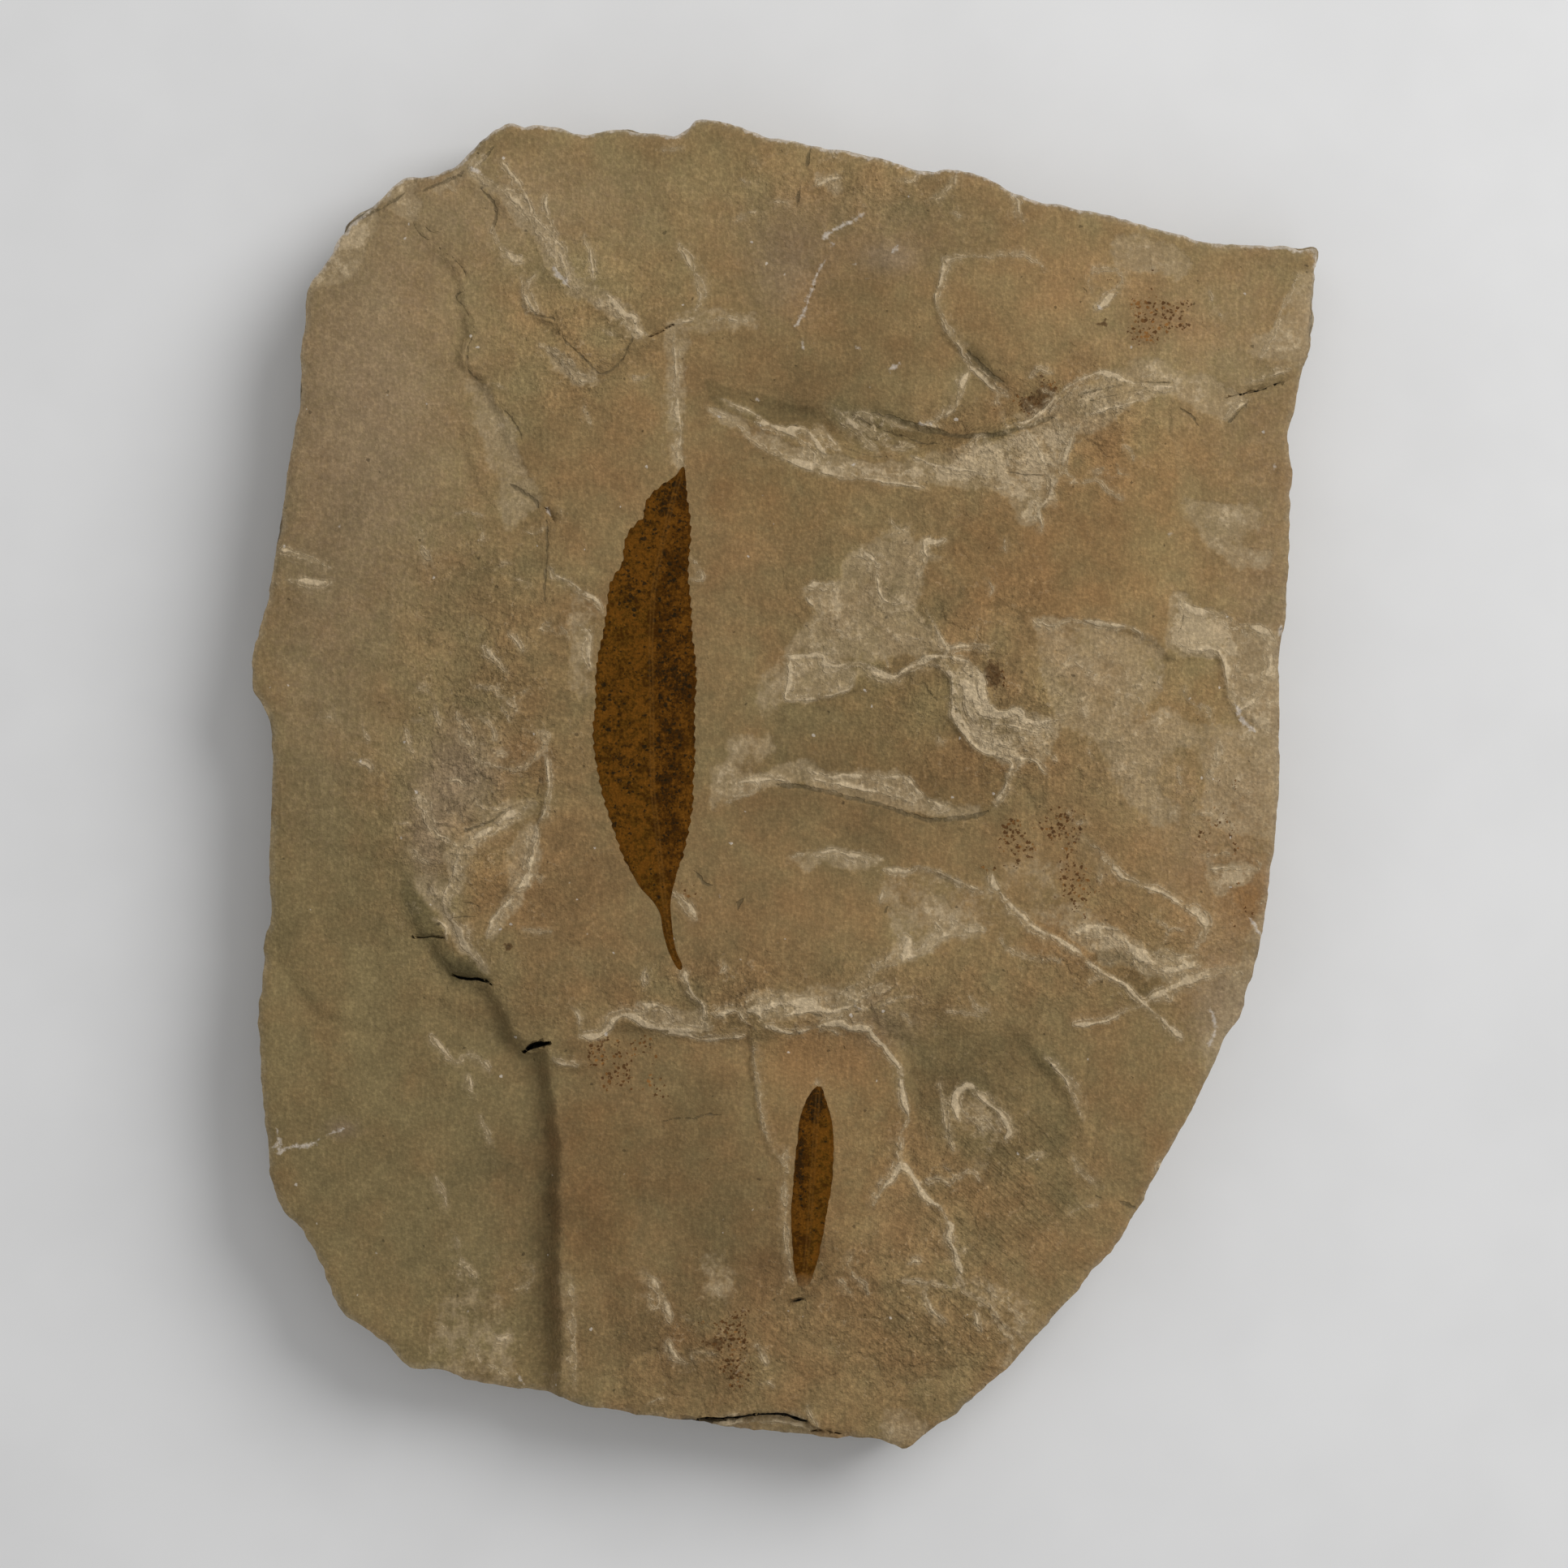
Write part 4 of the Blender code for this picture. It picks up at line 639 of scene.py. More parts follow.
def stroke(half, power, points):
    return half, power, frayed(smooth_line(points, STROKE_SPACING))


drawn = (("pale", PALE), ("dark", DARK), ("crack", CRACKS), ("chalk_and_highlight", CHALK))
strokes = {name: [stroke(*row) for row in marks_in(text)] for name, text in drawn}
print({name: len(rows) for name, rows in strokes.items()})


# %% How strongly each place is marked
WEAK_STROKE, STROKE_GAIN, STRONGEST = 0.62, 0.38, 1.4


def tapered(share, line, half):
    """A stroke's width at this share of its length: full in the middle, and a quarter of it at the tips."""
    length = np.sum(np.linalg.norm(np.diff(line, axis=0), axis=1))
    return half * np.clip(0.25 + np.minimum(share, 1 - share) * length / (4 * half), 0.25, 1.0)


def stroke_level(places, rows, thickest=0.5, fall=0.8, widen=0.0, leans=None, uneven=0.0):
    """A stroke has half of its strength on its edge, more inside and less outside, out to its fall plus its
    widening. So fine lines need no fine mesh. A lean above 0 lets it reach further to its left."""
    level = np.zeros(len(places))
    uneven = np.broadcast_to(uneven, len(places))
    for (half, power, line), lean in zip(rows, np.zeros(len(rows)) if leans is None else leans):
        reach = fall + widen * half
        close = near(places, line, 1.5 * (half + reach))
        if not len(close):
            continue
        signed, share = nearest_on_line(places[close], line)
        width = tapered(share, line, min(half, thickest)) * (1 + 0.55 * uneven[close])
        distance = np.abs(signed) * (1 - lean * np.sign(signed))
        strength = WEAK_STROKE + STROKE_GAIN * min(power, STRONGEST)
        level[close] = np.maximum(level[close], strength * (0.5 + 0.5 * (width - distance) / reach))
    return level


# %% [markdown]
# ## Stains, sheets of another tone, painted shade, and rust
# The rock isn't one brown. Whole sheets are creamier, redder or greyer than the one below, with sharp torn
# edges, and over them lie soft stains. The shade sheets and a few dark ovals are painted shade, in the
# hollow below the ledge band and at the feet of ledges. The sheets are closed lines with a strength. The
# stains are soft ovals: x, y, two radii, then how much lighter or darker, and how much redder or more olive.
# The other lists are ovals that end in one strength. They say where the rock is rusty, flaky (its top sheets
# are loose), dull (greyer), combed (finely streaked) or blotted with dark spots.

# %% Sheets with a torn edge: strength, points
SHEETS = {
    "pale_area": """
1 -39,77 -36.4,75.4 -33.6,73.6 -31.4,71.6 -29.4,69.2 -27.4,66 -26.4,63 -27.4,61.8 -29,63 -30,65.4
    -31.4,67.6 -33.4,70 -36,72.8 -38.6,74.8
1 -27,62.6 -24,61.6 -21.4,60.6 -19.4,58.8 -17,56 -18.2,55 -20.4,56.8 -22.4,58.8 -25.2,60 -27.4,61
0.9 -29.4,53.6 -27.4,53 -25.4,51.4 -23,50.4 -22.8,49.2 -25.4,49 -27.4,50.4
0.6 -5,-25.4 0,-25 4,-24.6 8,-24.2 9.6,-25.8 10.4,-28 6,-29.2 0,-29.6 -3.6,-28.6
0.8 -12.6,-27.6 -9.8,-28 -10,-30.4 -14,-30.6 -20,-29.2 -20.4,-28.4
1.2 -9,46.6 -5.8,45 -0.4,42.4 4.3,40.6 8,40.4 11,39.6 16,40 22,41.8 27,42.2 31,43.8 35,43.6 34.5,41
    32.5,36.2 31.6,34 30.4,32 28.7,32.6 27.4,35.4 24.7,36.4 17.9,37 11,38 4.3,39.2 -0.4,41 -5.8,43.8
    -9,45.6
0.9 28.4,45.6 31.5,44.4 37.6,43.6 45,47.4 50,48.2 50,50 45,52.8 38.2,49.8 33.5,47.8 30.4,46.8
0.8 -14.8,56.4 -12.4,56.6 -12,50 -12.4,44 -12.2,39.6 -13.4,39.4 -14.4,44 -14.6,50
0.9 -45.4,-11.6 -42.6,-11 -40.8,-12.4 -41.4,-16 -39.6,-18 -36.4,-22.4 -37.8,-23 -40.4,-19.6 -42.8,-16.4
    -44.2,-14
0.9 -41.6,-9.4 -39.6,-6 -36,-3.4 -32.4,-1.4 -30.6,-2.4 -31.6,-4.4 -35,-5.4 -38,-8 -39.6,-11.6 -40.8,-14
0.85 -34,-8 -31.6,-4.4 -30,-9 -31.4,-13 -33.6,-15.6 -35.6,-19.6 -37,-18.4 -35.4,-15.4 -34.4,-11.6
0.9 0.3,16 0.3,10.4 3,10.7 7,11.4 8.5,12.6 8.4,14.8 5,15.2 4.6,16
0.9 48,23.5 49.6,23.5 50.4,21.6 54,21.2 55.6,19.8 59,19.4 61.2,17 61.2,9 57,7.6 55,10 54,14 53.4,16
    50,16.2 48,15.8 47,18
0.8 33.6,7.6 38,5 40.4,1 42.4,-2 44,-4.4 46,-5.2 48.4,-4.8 48.6,-2.6 46.6,-1.2 46,1.8 47.6,3.4 50.6,4.4
    51.4,0.2 51.6,-3 54,-5.8 58,-6.4 61,-6 61,7.6 57,7.6 52,7 47,9.6 44,8 40,9 36,9
0.5 26.4,-11 27.6,-9.6 29,-9.8 30,-7 32,-7.6 32.4,-9.4 35,-10 33.6,-12 34.6,-13.4 31,-14.6 28.4,-13.2
    27,-13.6
0.5 30,-14 36,-14.6 41,-16.6 43,-19 40.6,-18.2 39.4,-20.4 36,-19.4 31,-16.6
1.2 35,-18 38,-17.2 41,-18 42.6,-19.4 41,-20.6 38.4,-20.8 36,-19.6
0.7 57.6,-16 59.6,-17 58.4,-22 56.4,-28 54,-33 51.4,-36 51.8,-31 53.6,-27 56,-22
1.3 52,-10 57.8,-9.8 57.4,-11.8 54.8,-12.4 53.4,-14 52.2,-12.4
0.8 49,35 53,34.8 58,34.6 58.6,32 57,31 58,29 60,28.6 59,26.4 55,27 52,30 49,33
0.85 0.8,15.9 1.2,18.5 3,21 3.2,22.6 2.4,23.4 3,24.8 7,25 7,27 8.8,28.8 11,29.4 12.4,31 13.6,32.4 15.4,32
    16,30 19.4,30.2 17.8,29.2 19.8,28 17.4,27 17,25.4 16.2,22.4 17,20.6 18.6,19 20.6,17 19,16.2 14,15.2
    10,15.4
1.25 22,15 24.6,13 25,9.6 29,9 33,8 33,4 28,2.6 23,5 21.8,9 21.2,13
0.6 -1,15.6 0.4,14 0,9.6 -1.6,7.6 -3.6,6 -6.4,6.4 -7.6,3.6 -9,1.6 -6,1 -3,2.6 -1.4,5 -3.6,9 -3.4,13
1 -8,2 -3,1.4 2,2.8 7.7,1.6 14.5,1.4 18,-1.6 24,-3.4 22,-4.2 14,-3.2 8,-1.8 2,-0.2 -6,-1.2 -9,-3
0.8 38.5,-22 40,-18.4 42.6,-19 45,-20.6 48,-21 51,-21.4 51,-23.6 46,-24 42,-22.6
1.15 -59,61.6 -54,62.5 -51.5,66 -50,71 -53,71.6 -55.6,68.6
0.45 20.4,-37.6 22.6,-36.6 25.4,-38.8 27.8,-41.6 27.6,-44.4 24.6,-44.2 21.4,-41.4
0.4 22.6,-61 26,-60.6 30,-63 33,-66.6 29,-71 26,-71.6 24.6,-67 23,-64
0.8 0.4,-9.4 1.2,-8.4 4,-8 8,-8.2 12,-8.7 11.8,-9.8 8,-10.3 3,-10.3
1.1 17,-14.6 20,-14 21.4,-16.9 24.4,-17.5 24,-18.5 20.8,-18.6 18.4,-20.2 15.6,-21.7 14,-19.8 14.6,-18.3
    16,-19.4 17.4,-18
0.9 3.4,75.4 5.6,75.6 6.8,74 6.6,72.4 5.2,73.2 3.8,74.2
1.4 47.8,23.2 49.8,23.4 50.4,21.4 53,21.2 54.8,20.4 55.6,16.4 54.2,15.8 48.4,16.2 47.2,17.6
0.75 -39.4,50 -36.4,48.6 -33.6,44 -31.8,39.6 -30,35.4 -30.6,33.6 -34.4,31 -35.6,36 -37,41 -38.6,45.6
1 -54.8,68.4 -52,71.4 -48.5,74.2 -46.4,75.2 -45.4,73.6 -48,72.2 -51,70.4 -53.6,68
0.9 -49,71.4 -46.4,73.2 -44.8,71.6 -45.6,69.8 -47.4,70.2
0.8 -43.2,74 -40,76.4 -37.6,77.6 -38.2,75.6 -41,73.8 -43,72.8
0.5 -43,-64 -38,-61.6 -34.6,-65 -33.4,-74 -43,-73.6
0.5 -10.6,-58.4 -8.6,-57.2 -6,-58.6 -5.8,-62 -7,-65 -9.6,-64.2 -11,-61
0.5 12,-10.4 20,-11 25.4,-13.6 26,-18 20,-19.6 13.6,-22 12.6,-17
0.78 31,20.2 38,20 44,18.6 47,15.4 45,9 40,4.6 34,8 31.6,14
0.8 63.6,63 65.4,63 65,57 64,51.6 60,52.6 56.8,52.4 58,55.4 60.6,57
0.8 40,66.4 43.6,68 47,67 50.4,64 48,61.8 45,63.4 41,63
0.9 46.6,49.4 52,50.4 54.6,48.6 57.2,47.6 55.6,46 54.2,44.8 51.6,45.8 49,47.4
0.6 -12,59 -4,58.4 -4,56 -14,55.6
0.6 -26,24 -23.4,22 -23.9,16 -24.2,10 -26.4,12 -27,19
0.7 12,-76.4 15.4,-77 18,-79.6 14.8,-82 12,-81
""",
    "warm_area": """
0.8 8.6,13 17.6,15.6 20.3,13 20.7,8 23.4,4.4 27,2.4 25.8,-2 20.5,-3.6 15,-0.6 9,1.6 7,4 7.4,11
0.8 21,30 26,33.6 32,31.4 38,42 47,44 48,34 46,24 36,21.4 27,20.6 22,24
1 53.6,-13.6 54.6,-12.3 57.3,-11.4 60.4,-11 59.8,-16.9 57,-16.4 55.3,-15.9 54,-14.8
0.7 -26.4,-40 -19,-42 -17.6,-50 -20,-59 -26.8,-60
0.6 54,14 61,12 61,9 57,3 53,-3 49,2 50,12
0.6 -3.9,-31.6 10.4,-30.8 14,-35 14.8,-41 13.6,-48 10.6,-52 5,-62 0,-62 0.4,-48 -2.4,-43 -3.8,-37
0.7 -8,40 0,39 8,37 6,32 -2,30 -9,33
0.5 -36,-8 -31.6,-4 -30.6,3 -33,-4 -38,-8 -40,-14 -37,-17 -34,-12
""",
    # Painted shade: these dark sheets darken the hollow below the ledge band and the ground at the feet of
    # ledges and by a crack.
    "shade_area": """
1.1 -10,49.8 -7,48.8 -3.4,47.8 0.3,47 4.3,45.6 5.4,43 3.4,42.8 0.6,44 -3,44.3 -6,45.6 -8.8,47.2
1 10.6,46.2 13.2,45.9 17.2,44.2 22,43.2 26,43.5 30.6,44.8 28.6,43.4 25,42.4 20,42 16,41.4 12.6,42.2
0.72 4,44.4 7,46 10,46.4 13,45.2 18,43.4 22,42.6 20,41 15,40.6 10,41.2 6,42.4
0.8 -48.6,-9.4 -46.8,-10.6 -44.6,-14.4 -42.2,-17.8 -40.6,-21.2 -38,-23.2 -40.6,-24.4 -43,-22 -45,-18.6
    -47,-14
1 37.6,-20.8 40.4,-20.6 43.2,-20.8 45.4,-23 47.6,-24 46,-25.4 43.6,-26 40.4,-24.4 38,-22.6
0.9 21.7,54.4 22.7,54.2 24.4,52.6 25.8,51 27.2,49.2 25.4,49.6 23.4,51.4
1 -40.8,-23.6 -39.6,-23 -37.6,-23 -36.2,-24.2 -38,-24.4 -39.6,-24
""",
    "grey_area": """
0.8 10.8,-28 16,-28 24,-30 31,-32 34.6,-37 36.6,-43 30,-50 22,-52 17.4,-50.6 14.8,-45 15.2,-38 14.4,-34.6
0.7 0.4,10.2 7,10.8 7.2,4 9,1.8 2,1.8 -3,3.4
0.6 -14,-38 -4.6,-36 -2.8,-44 -0.6,-50 -1,-60 -10,-58 -15,-50
0.6 38,-23.6 46,-25 48,-22.6 51,-24 45,-28 40,-25.8
0.9 14,-27.6 19,-27.8 20,-30 18.6,-33 15.4,-32 14.4,-30
0.8 19.6,-48.6 26,-47 33,-46.6 36,-50 33,-54 27,-57 21.6,-55 20,-51.6
0.8 28,-31.6 33,-33 36.4,-38.6 35.6,-42 31,-41 28,-36.6
0.5 -48,-9 -42,-16 -36,-24.6 -33,-31 -30,-36 -34,-34 -40,-26 -46,-18
0.9 49.6,16 53.4,15.8 52.6,9 51.8,3 51.2,-2.6 48.8,-2.4 48.4,4 49.2,10
""",
}
print("sheets:", {name: len(marks_in(text)) for name, text in SHEETS.items()})

# %% Soft stains and painted shade: x, y, two radii, lighter or darker, redder or more olive
# Painted shade among them: the dark ovals at (-30.5, -50), (-45.4, -14.6), (-39.5, -22.4), (8, 46) and (1,
# 50) darken the foot of the long scarp, the low side of the ledge at the left, and the hollow below the ledge
# band.
STAINS_AND_SHADE = [
    (8, 12, 14, 18, -0.05, 0), (0, -34, 4, 3, 0.1, 0), (-52, 34, 13, 34, 0.02, 0),
    (-44, 52, 11, 20, 0.13, 0), (-42, 4, 9, 15, 0.1, 0), (57, -14, 3, 2.8, -0.1, 1.4),
    (49, 22, 9, 40, 0.09, -0.2), (-40, -58, 11, 16, -0.06, 0), (24, -50, 8, 10, 0.12, 0.1),
    (2, -35, 7, 4, 0.1, 0), (0, -40, 34, 26, 0, 0.1), (54, 54, 10, 20, -0.05, 0),
    (-14, 2, 8, 14, -0.08, 0), (-46, -44, 22, 34, -0.14, -0.22), (-57, -8, 9, 14, -0.1, -0.1),
    (-36, 75, 7, 6, 0.12, 0), (-29, 53, 9, 7, 0.12, 0), (0, 76, 9, 6, 0.12, 0), (-60, 26, 5, 8, -0.14, 0),
    (3, 1, 7, 6, -0.14, 0), (12, -5, 9, 7, -0.14, 0), (-25, -11, 5, 7, -0.16, 0.15),
    (-6, -22, 12, 4, -0.15, 0.1), (-60, -46, 5, 7, -0.12, 0), (-36, -46, 5, 8, -0.12, 0),
    (12, -46, 5, 6, 0.08, 0), (-12, -70, 6, 7, -0.2, 0), (48, 2, 7, 6, 0.12, 0),
    (50, 52, 14, 26, 0, -0.15), (-16, 40, 12, 16, 0, 0.2), (-28, -16, 6, 12, 0.02, 0.3),
    (-36, -12, 4, 6, 0, 0.25), (-41, 0, 5, 6, -0.08, -0.1), (-39.5, -22.4, 2.4, 1.4, -0.3, -0.4),
    (-45.4, -14.6, 1.2, 2.4, -0.2, -0.4), (3, 66, 7, 7, -0.06, 0.25), (16, 10, 8, 5, -0.06, -0.2),
    (40, -8, 12, 10, 0, -0.15), (-24, -50, 7, 14, -0.16, 0.35), (-10, -50, 9, 14, -0.18, 0),
    (0, -60, 9, 6, -0.2, 0.2), (24, -36, 9, 7, -0.26, -0.25), (36, -46, 9, 8, -0.1, -0.1),
    (4, -36, 9, 6, 0.12, 0.25), (11, -48, 5, 8, 0.1, 0.1), (8, 55, 17, 9, -0.05, 0.1),
    (1, 50, 6, 4, -0.18, 0), (44.5, 58, 4.6, 3.2, -0.14, 0.12), (44, 55, 2.4, 1.2, -0.14, 0.1),
    (50, 56, 16, 12, 0.26, 0.15), (36, 62, 12, 8, 0.12, 0.15), (-12, 70, 18, 9, 0.1, -0.05),
    (-24, 66, 8, 8, 0.08, -0.05), (16, 38, 12, 5, 0.12, 0.05), (46, 26, 14, 18, 0.1, 0.25),
    (28, 25, 8, 7, -0.06, 0.35), (50, -10, 12, 18, 0.1, 0.3), (36, -12, 10, 12, 0.06, 0.25),
    (-36, -9, 7, 11, 0.14, 0.05), (30, 60, 10, 8, 0.08, 0), (38, 51, 5, 3, -0.1, 0.1),
    (-4, 30, 6, 10, 0, 0.2), (-30, 10, 7, 24, -0.06, 0.15), (-4, -10, 12, 14, 0, 0.15),
    (20, 0, 8, 5, -0.08, 0.2), (12, -18, 14, 6, 0.06, -0.05), (-30.5, -50, 2.2, 24, -0.14, -0.1),
    (5, -72, 16, 7, 0.04, 0.15), (-16, -70, 8, 8, -0.02, 0.15), (-20, -28, 8, 5, 0.02, 0),
    (-14, 44, 3, 5, 0.1, -0.1), (54, -30, 5, 7, 0.06, -0.3), (-1, 4, 3, 3, -0.08, -0.2),
    (47, 40, 14, 6, 0.06, 0.25), (14, 14, 22, 8, 0.05, 0), (8, 46, 10, 1.6, -0.2, -0.3),
]
print("stains:", len(STAINS_AND_SHADE))

# %% Rust, flakes, dull rock, streaks and dark spots: x, y, two radii, strength
RUST = [
    (-8.6, -68.8, 2, 0.9, 1.3), (-6.2, -72.4, 2.2, 1.8, 1), (-10.6, -66.3, 1, 0.6, 1),
    (-23.4, -33.2, 1.2, 1.6, 1), (-20, -33, 1.3, 1.2, 1), (-17.4, -32, 1.4, 1.4, 1),
    (-21.6, -35.4, 2.2, 1.4, 0.8), (-17, -36.4, 3, 1.6, 0.8), (-7, -66.4, 3.4, 1.2, 0.45),
    (-5.6, -68, 1.4, 2.2, 0.45), (27.8, -5.6, 1, 1.6, 1.2), (29.6, -8, 1.2, 1.6, 1.2),
    (34, -4.6, 2.4, 2, 1.1), (35.4, -7.6, 0.9, 1.2, 0.9), (36.4, -12, 2.2, 2.8, 0.9),
    (25, -10.4, 1.8, 0.7, 0.8), (32, -6, 4, 4, 0.2), (30.8, 47.2, 2.6, 1.8, 1.3),
    (32.6, 48.8, 1.2, 1.4, 1), (45, 58, 4, 3, 1), (44, 55.2, 2, 0.9, 0.8), (26.6, 13.2, 0.9, 1.8, 0.9),
    (57, -15.6, 1.6, 1.6, 0.6), (-13, -12, 2.6, 2, 0.25), (54, -4, 3, 6, 0.25),
]
FLAKY = [
    (-38, -4, 12, 16, 1), (-36, 20, 10, 14, 0.7), (-26, 56, 10, 10, 0.8), (16, 20, 14, 14, 0.6),
    (46, 2, 14, 14, 0.5), (28, 8, 10, 10, 0.8), (16, -66, 18, 12, 1), (24, -46, 12, 10, 0.8),
    (-12, -70, 12, 8, 0.7), (-36, -68, 8, 10, 0.4), (8, 74, 14, 5, 0.6), (39, 48, 10, 4, 0.8),
    (0, -26, 26, 5, 1), (30, 42, 14, 6, 0.8), (42, -20, 12, 6, 0.7),
]
DULL = [
    (-40, 1, 6, 7, 1), (-44, -8, 3, 6, 0.8), (-52, 48, 15, 30, 0.9), (-58, 8, 8, 22, 0.4),
    (-30, 72, 16, 8, 0.5), (50, 56, 16, 14, 0.35), (60, 14, 7, 36, 0.6), (0, 63, 5, 7, 0.6),
    (13, 65, 3.5, 2, 0.8), (10, 69, 18, 8, 0.4), (54, -28, 5, 8, 1), (50, -8, 6, 8, 0.4),
    (-54.6, -42.4, 2.4, 1.4, 1), (12, -29, 6, 5, 0.6), (44, 2, 8, 6, 0.4),
]
COMBED = [
    (30, -52, 16, 18, 0.8), (14, -68, 20, 9, 0.3), (-8, -66, 14, 10, 0.25), (40, -16, 12, 9, 0.35),
    (8, 44, 9, 4, 0.5),
]
BLOTS = [
    (-8.6, -68.8, 1.7, 0.7, 0.75), (-6.4, -72.6, 2.2, 1.6, 0.45), (-10.6, -66.4, 0.8, 0.5, 0.6),
    (43, 55.2, 2, 0.6, 0.45), (25.6, 13.5, 1.2, 1.9, 1.1), (30.8, 47.2, 2.5, 1.5, 0.8),
    (32.4, 48.6, 1.1, 1.2, 0.7), (-34, -20, 0.5, 0.5, 1), (39.2, 56.8, 1, 0.6, 0.8),
]
print("ovals:", [len(rows) for rows in (RUST, FLAKY, DULL, COMBED, BLOTS)])


# %% Small curls of shale, and the torn edges of the sheets
def wisps(count):
    """Short pale curls, thrown about where the rock is flaking, most of them running down to the right."""
    pick = np.random.default_rng(12)
    rows = []
    for _ in range(count):
        x, y, across, along, power = FLAKY[pick.integers(len(FLAKY))]
        start = np.array((x, y)) + pick.uniform(-1.0, 1.0, 2) * (across, along)
        angle, bend, length = pick.uniform(-1.5, 0.5), pick.uniform(-0.5, 0.5), pick.uniform(0.5, 1.7)
        steps = [length * np.array((np.cos(angle + turn), np.sin(angle + turn))) for turn in (-bend, bend)]
        line = smooth_line([start, start + steps[0], start + steps[0] + steps[1]], STROKE_SPACING)
        rows.append((pick.uniform(0.08, 0.3), power * pick.uniform(0.3, 1.0), frayed(line)))
    return rows


def torn_sheet(power, points):
    return power, frayed(broken(smooth_line(points, 0.5, closed=True), 0.7, 2.6, 3.0))


strokes["pale"] += wisps(150)
torn = {name: [torn_sheet(*row) for row in marks_in(text)] for name, text in SHEETS.items()}
print("corners on the torn edges:", {name: sum(len(ring) for _, ring in rows) for name, rows in torn.items()})


# %% What those lists add up to at each place
TONE_START, WARMTH_START = 0.06, 0.43


def area_level(places, rows):
    """The strength inside a torn sheet, falling to 0 over a millimetre outside it."""
    level = np.zeros(len(places))
    for power, ring in rows:
        close = near(places, ring, 1.2)
        depth = depth_inside(places[close], ring)
        level[close] = np.maximum(level[close], power * smoothstep((depth + 0.9) / 1.8))
    return level


def oval_sum(places, rows, column):
    total = np.zeros(len(places))
    for row in rows:
        away = ((places[:, 0] - row[0]) / row[2]) ** 2 + ((places[:, 1] - row[1]) / row[3]) ** 2
        total += row[column] * np.exp(-away)
    return total


def leans_of(lines):
    """Above 0 where a bruise fades to the left: that is the side of the higher sheet, or of the paler one."""
    sides = []
    for line in lines:
        along = line[1:] - line[:-1]
        across = 0.8 * np.column_stack([-along[:, 1], along[:, 0]]) / np.linalg.norm(along, axis=1)[:, None]
        sides += [line[1:] + across, line[1:] - across]
    places = np.vstack(sides)
    worth = 2 * rock_height(places) + area_level(places, torn["pale_area"])
    sums = [part.sum() for part in np.split(worth, np.cumsum([len(side) for side in sides])[:-1])]
    return [0.5 if left > right else -0.5 for left, right in zip(sums[::2], sums[1::2])]


def flakiness(places):
    """How loose the top sheets are, from 0 where the face is smooth to 1 where it is all flakes."""
    return np.clip(0.16 + oval_sum(places, FLAKY, 4) * (1 + 0.5 * rough(places, 9.0, 2, 61.0)), 0.05, 1.3)


pale_leans = leans_of([line for half, power, line in strokes["pale"]])
print("bruises that fade to the left:", sum(lean > 0 for lean in pale_leans), "of", len(pale_leans))


def rock_marks(places):
    """Every painted attribute of the rock, at these places."""
    marks = {name: stroke_level(places, strokes[name], 0.3, 0.5) for name in ("dark", "chalk_and_highlight", "crack")}
    bruises = [
        (0.5 * half, power * min(1.0, 1.2 - 0.6 * half), line) for half, power, line in strokes["pale"]
    ]
    marks["pale"] = stroke_level(places, bruises, 0.45, 0.4, 1.0, pale_leans, rough(places, 2.6, 3, 40.0))
    marks["pale"] *= 0.97 + 0.30 * rough(places, 3.2, 3, 91.0)
    marks.update({name: area_level(places, rows) for name, rows in torn.items()})
    flaky, mottle = flakiness(places), rough(places, 7.0, 4, 44.0)
    marks["tone"] = TONE_START + oval_sum(places, STAINS_AND_SHADE, 4) + (0.12 + 0.02 * flaky) * mottle
    marks["warmth"] = WARMTH_START + 0.0012 * places[:, 0] + oval_sum(places, STAINS_AND_SHADE, 5)
    marks["warmth"] += 0.30 * rough(places, 6.0, 3, 47.0)
    for name, rows in (("rust", RUST), ("dull", DULL), ("combed", COMBED), ("blot", BLOTS)):
        marks[name] = oval_sum(places, rows, 4)
    marks["flaky"] = flaky
    marks["lie"] = 20.0 + 4.0 * rough(places, 26.0, 4, 52.0) + 1.2 * rough(places, 6.0, 3, 55.0)
    return marks


# %% [markdown]
# ## The two leaves, as lines
# The big leaf has a long stalk, a midrib a little off its middle, and small teeth that point at its tip.
# The narrow one is smooth-edged. Their lines come before the rock's mesh, because each film lies in a
# shallow imprint that the rock needs.

# %% Margins, ribs and teeth
LARGE_MARGIN = points_in(
    "-12.5,39.2 -13.5,38 -15,37 -16.5,35.7 -17.2,34.5 -17.4,33 -18.3,32.2 -19.3,31 -19.8,29.4 -20,27.3 "
    "-20.9,25.9 -21.6,24.4 -21.9,22 -22.2,19.7 -22.5,18 -23,15.9 -23.3,13 -23.3,10 -23.6,7.4 -23.6,5.3 "
    "-23.3,3 -22.9,0.9 -22.4,-1.5 -21.6,-4 -20.8,-6.4 -20,-8.7 -18.9,-10.8 -17.8,-12.7 -16.6,-14 "
    "-15.9,-14.9 -15.3,-16.1 -15,-18.1 -14.5,-20 -13.9,-21.5 -13.2,-22.7 -12.7,-22.8 -12.7,-22.1 "
    "-13.4,-20.5 -13.8,-18.4 -14,-16.4 -14.1,-14.9 -13.9,-13.3 -13.5,-11.7 -13.1,-10.2 -12.6,-9 -12.2,-7.3 "
    "-11.8,-5.4 -11.5,-3.6 -11.3,-2 -11.3,0 -11.1,3 -11.1,6.1 -11.1,10 -10.9,12.7 -11.1,16.2 -11.4,18.2 "
    "-11.5,20.6 -11.6,22.6 -11.9,25.6 -11.8,28.2 -11.6,30.3 -11.7,33.2 -12,35 -12.2,37.6"
)
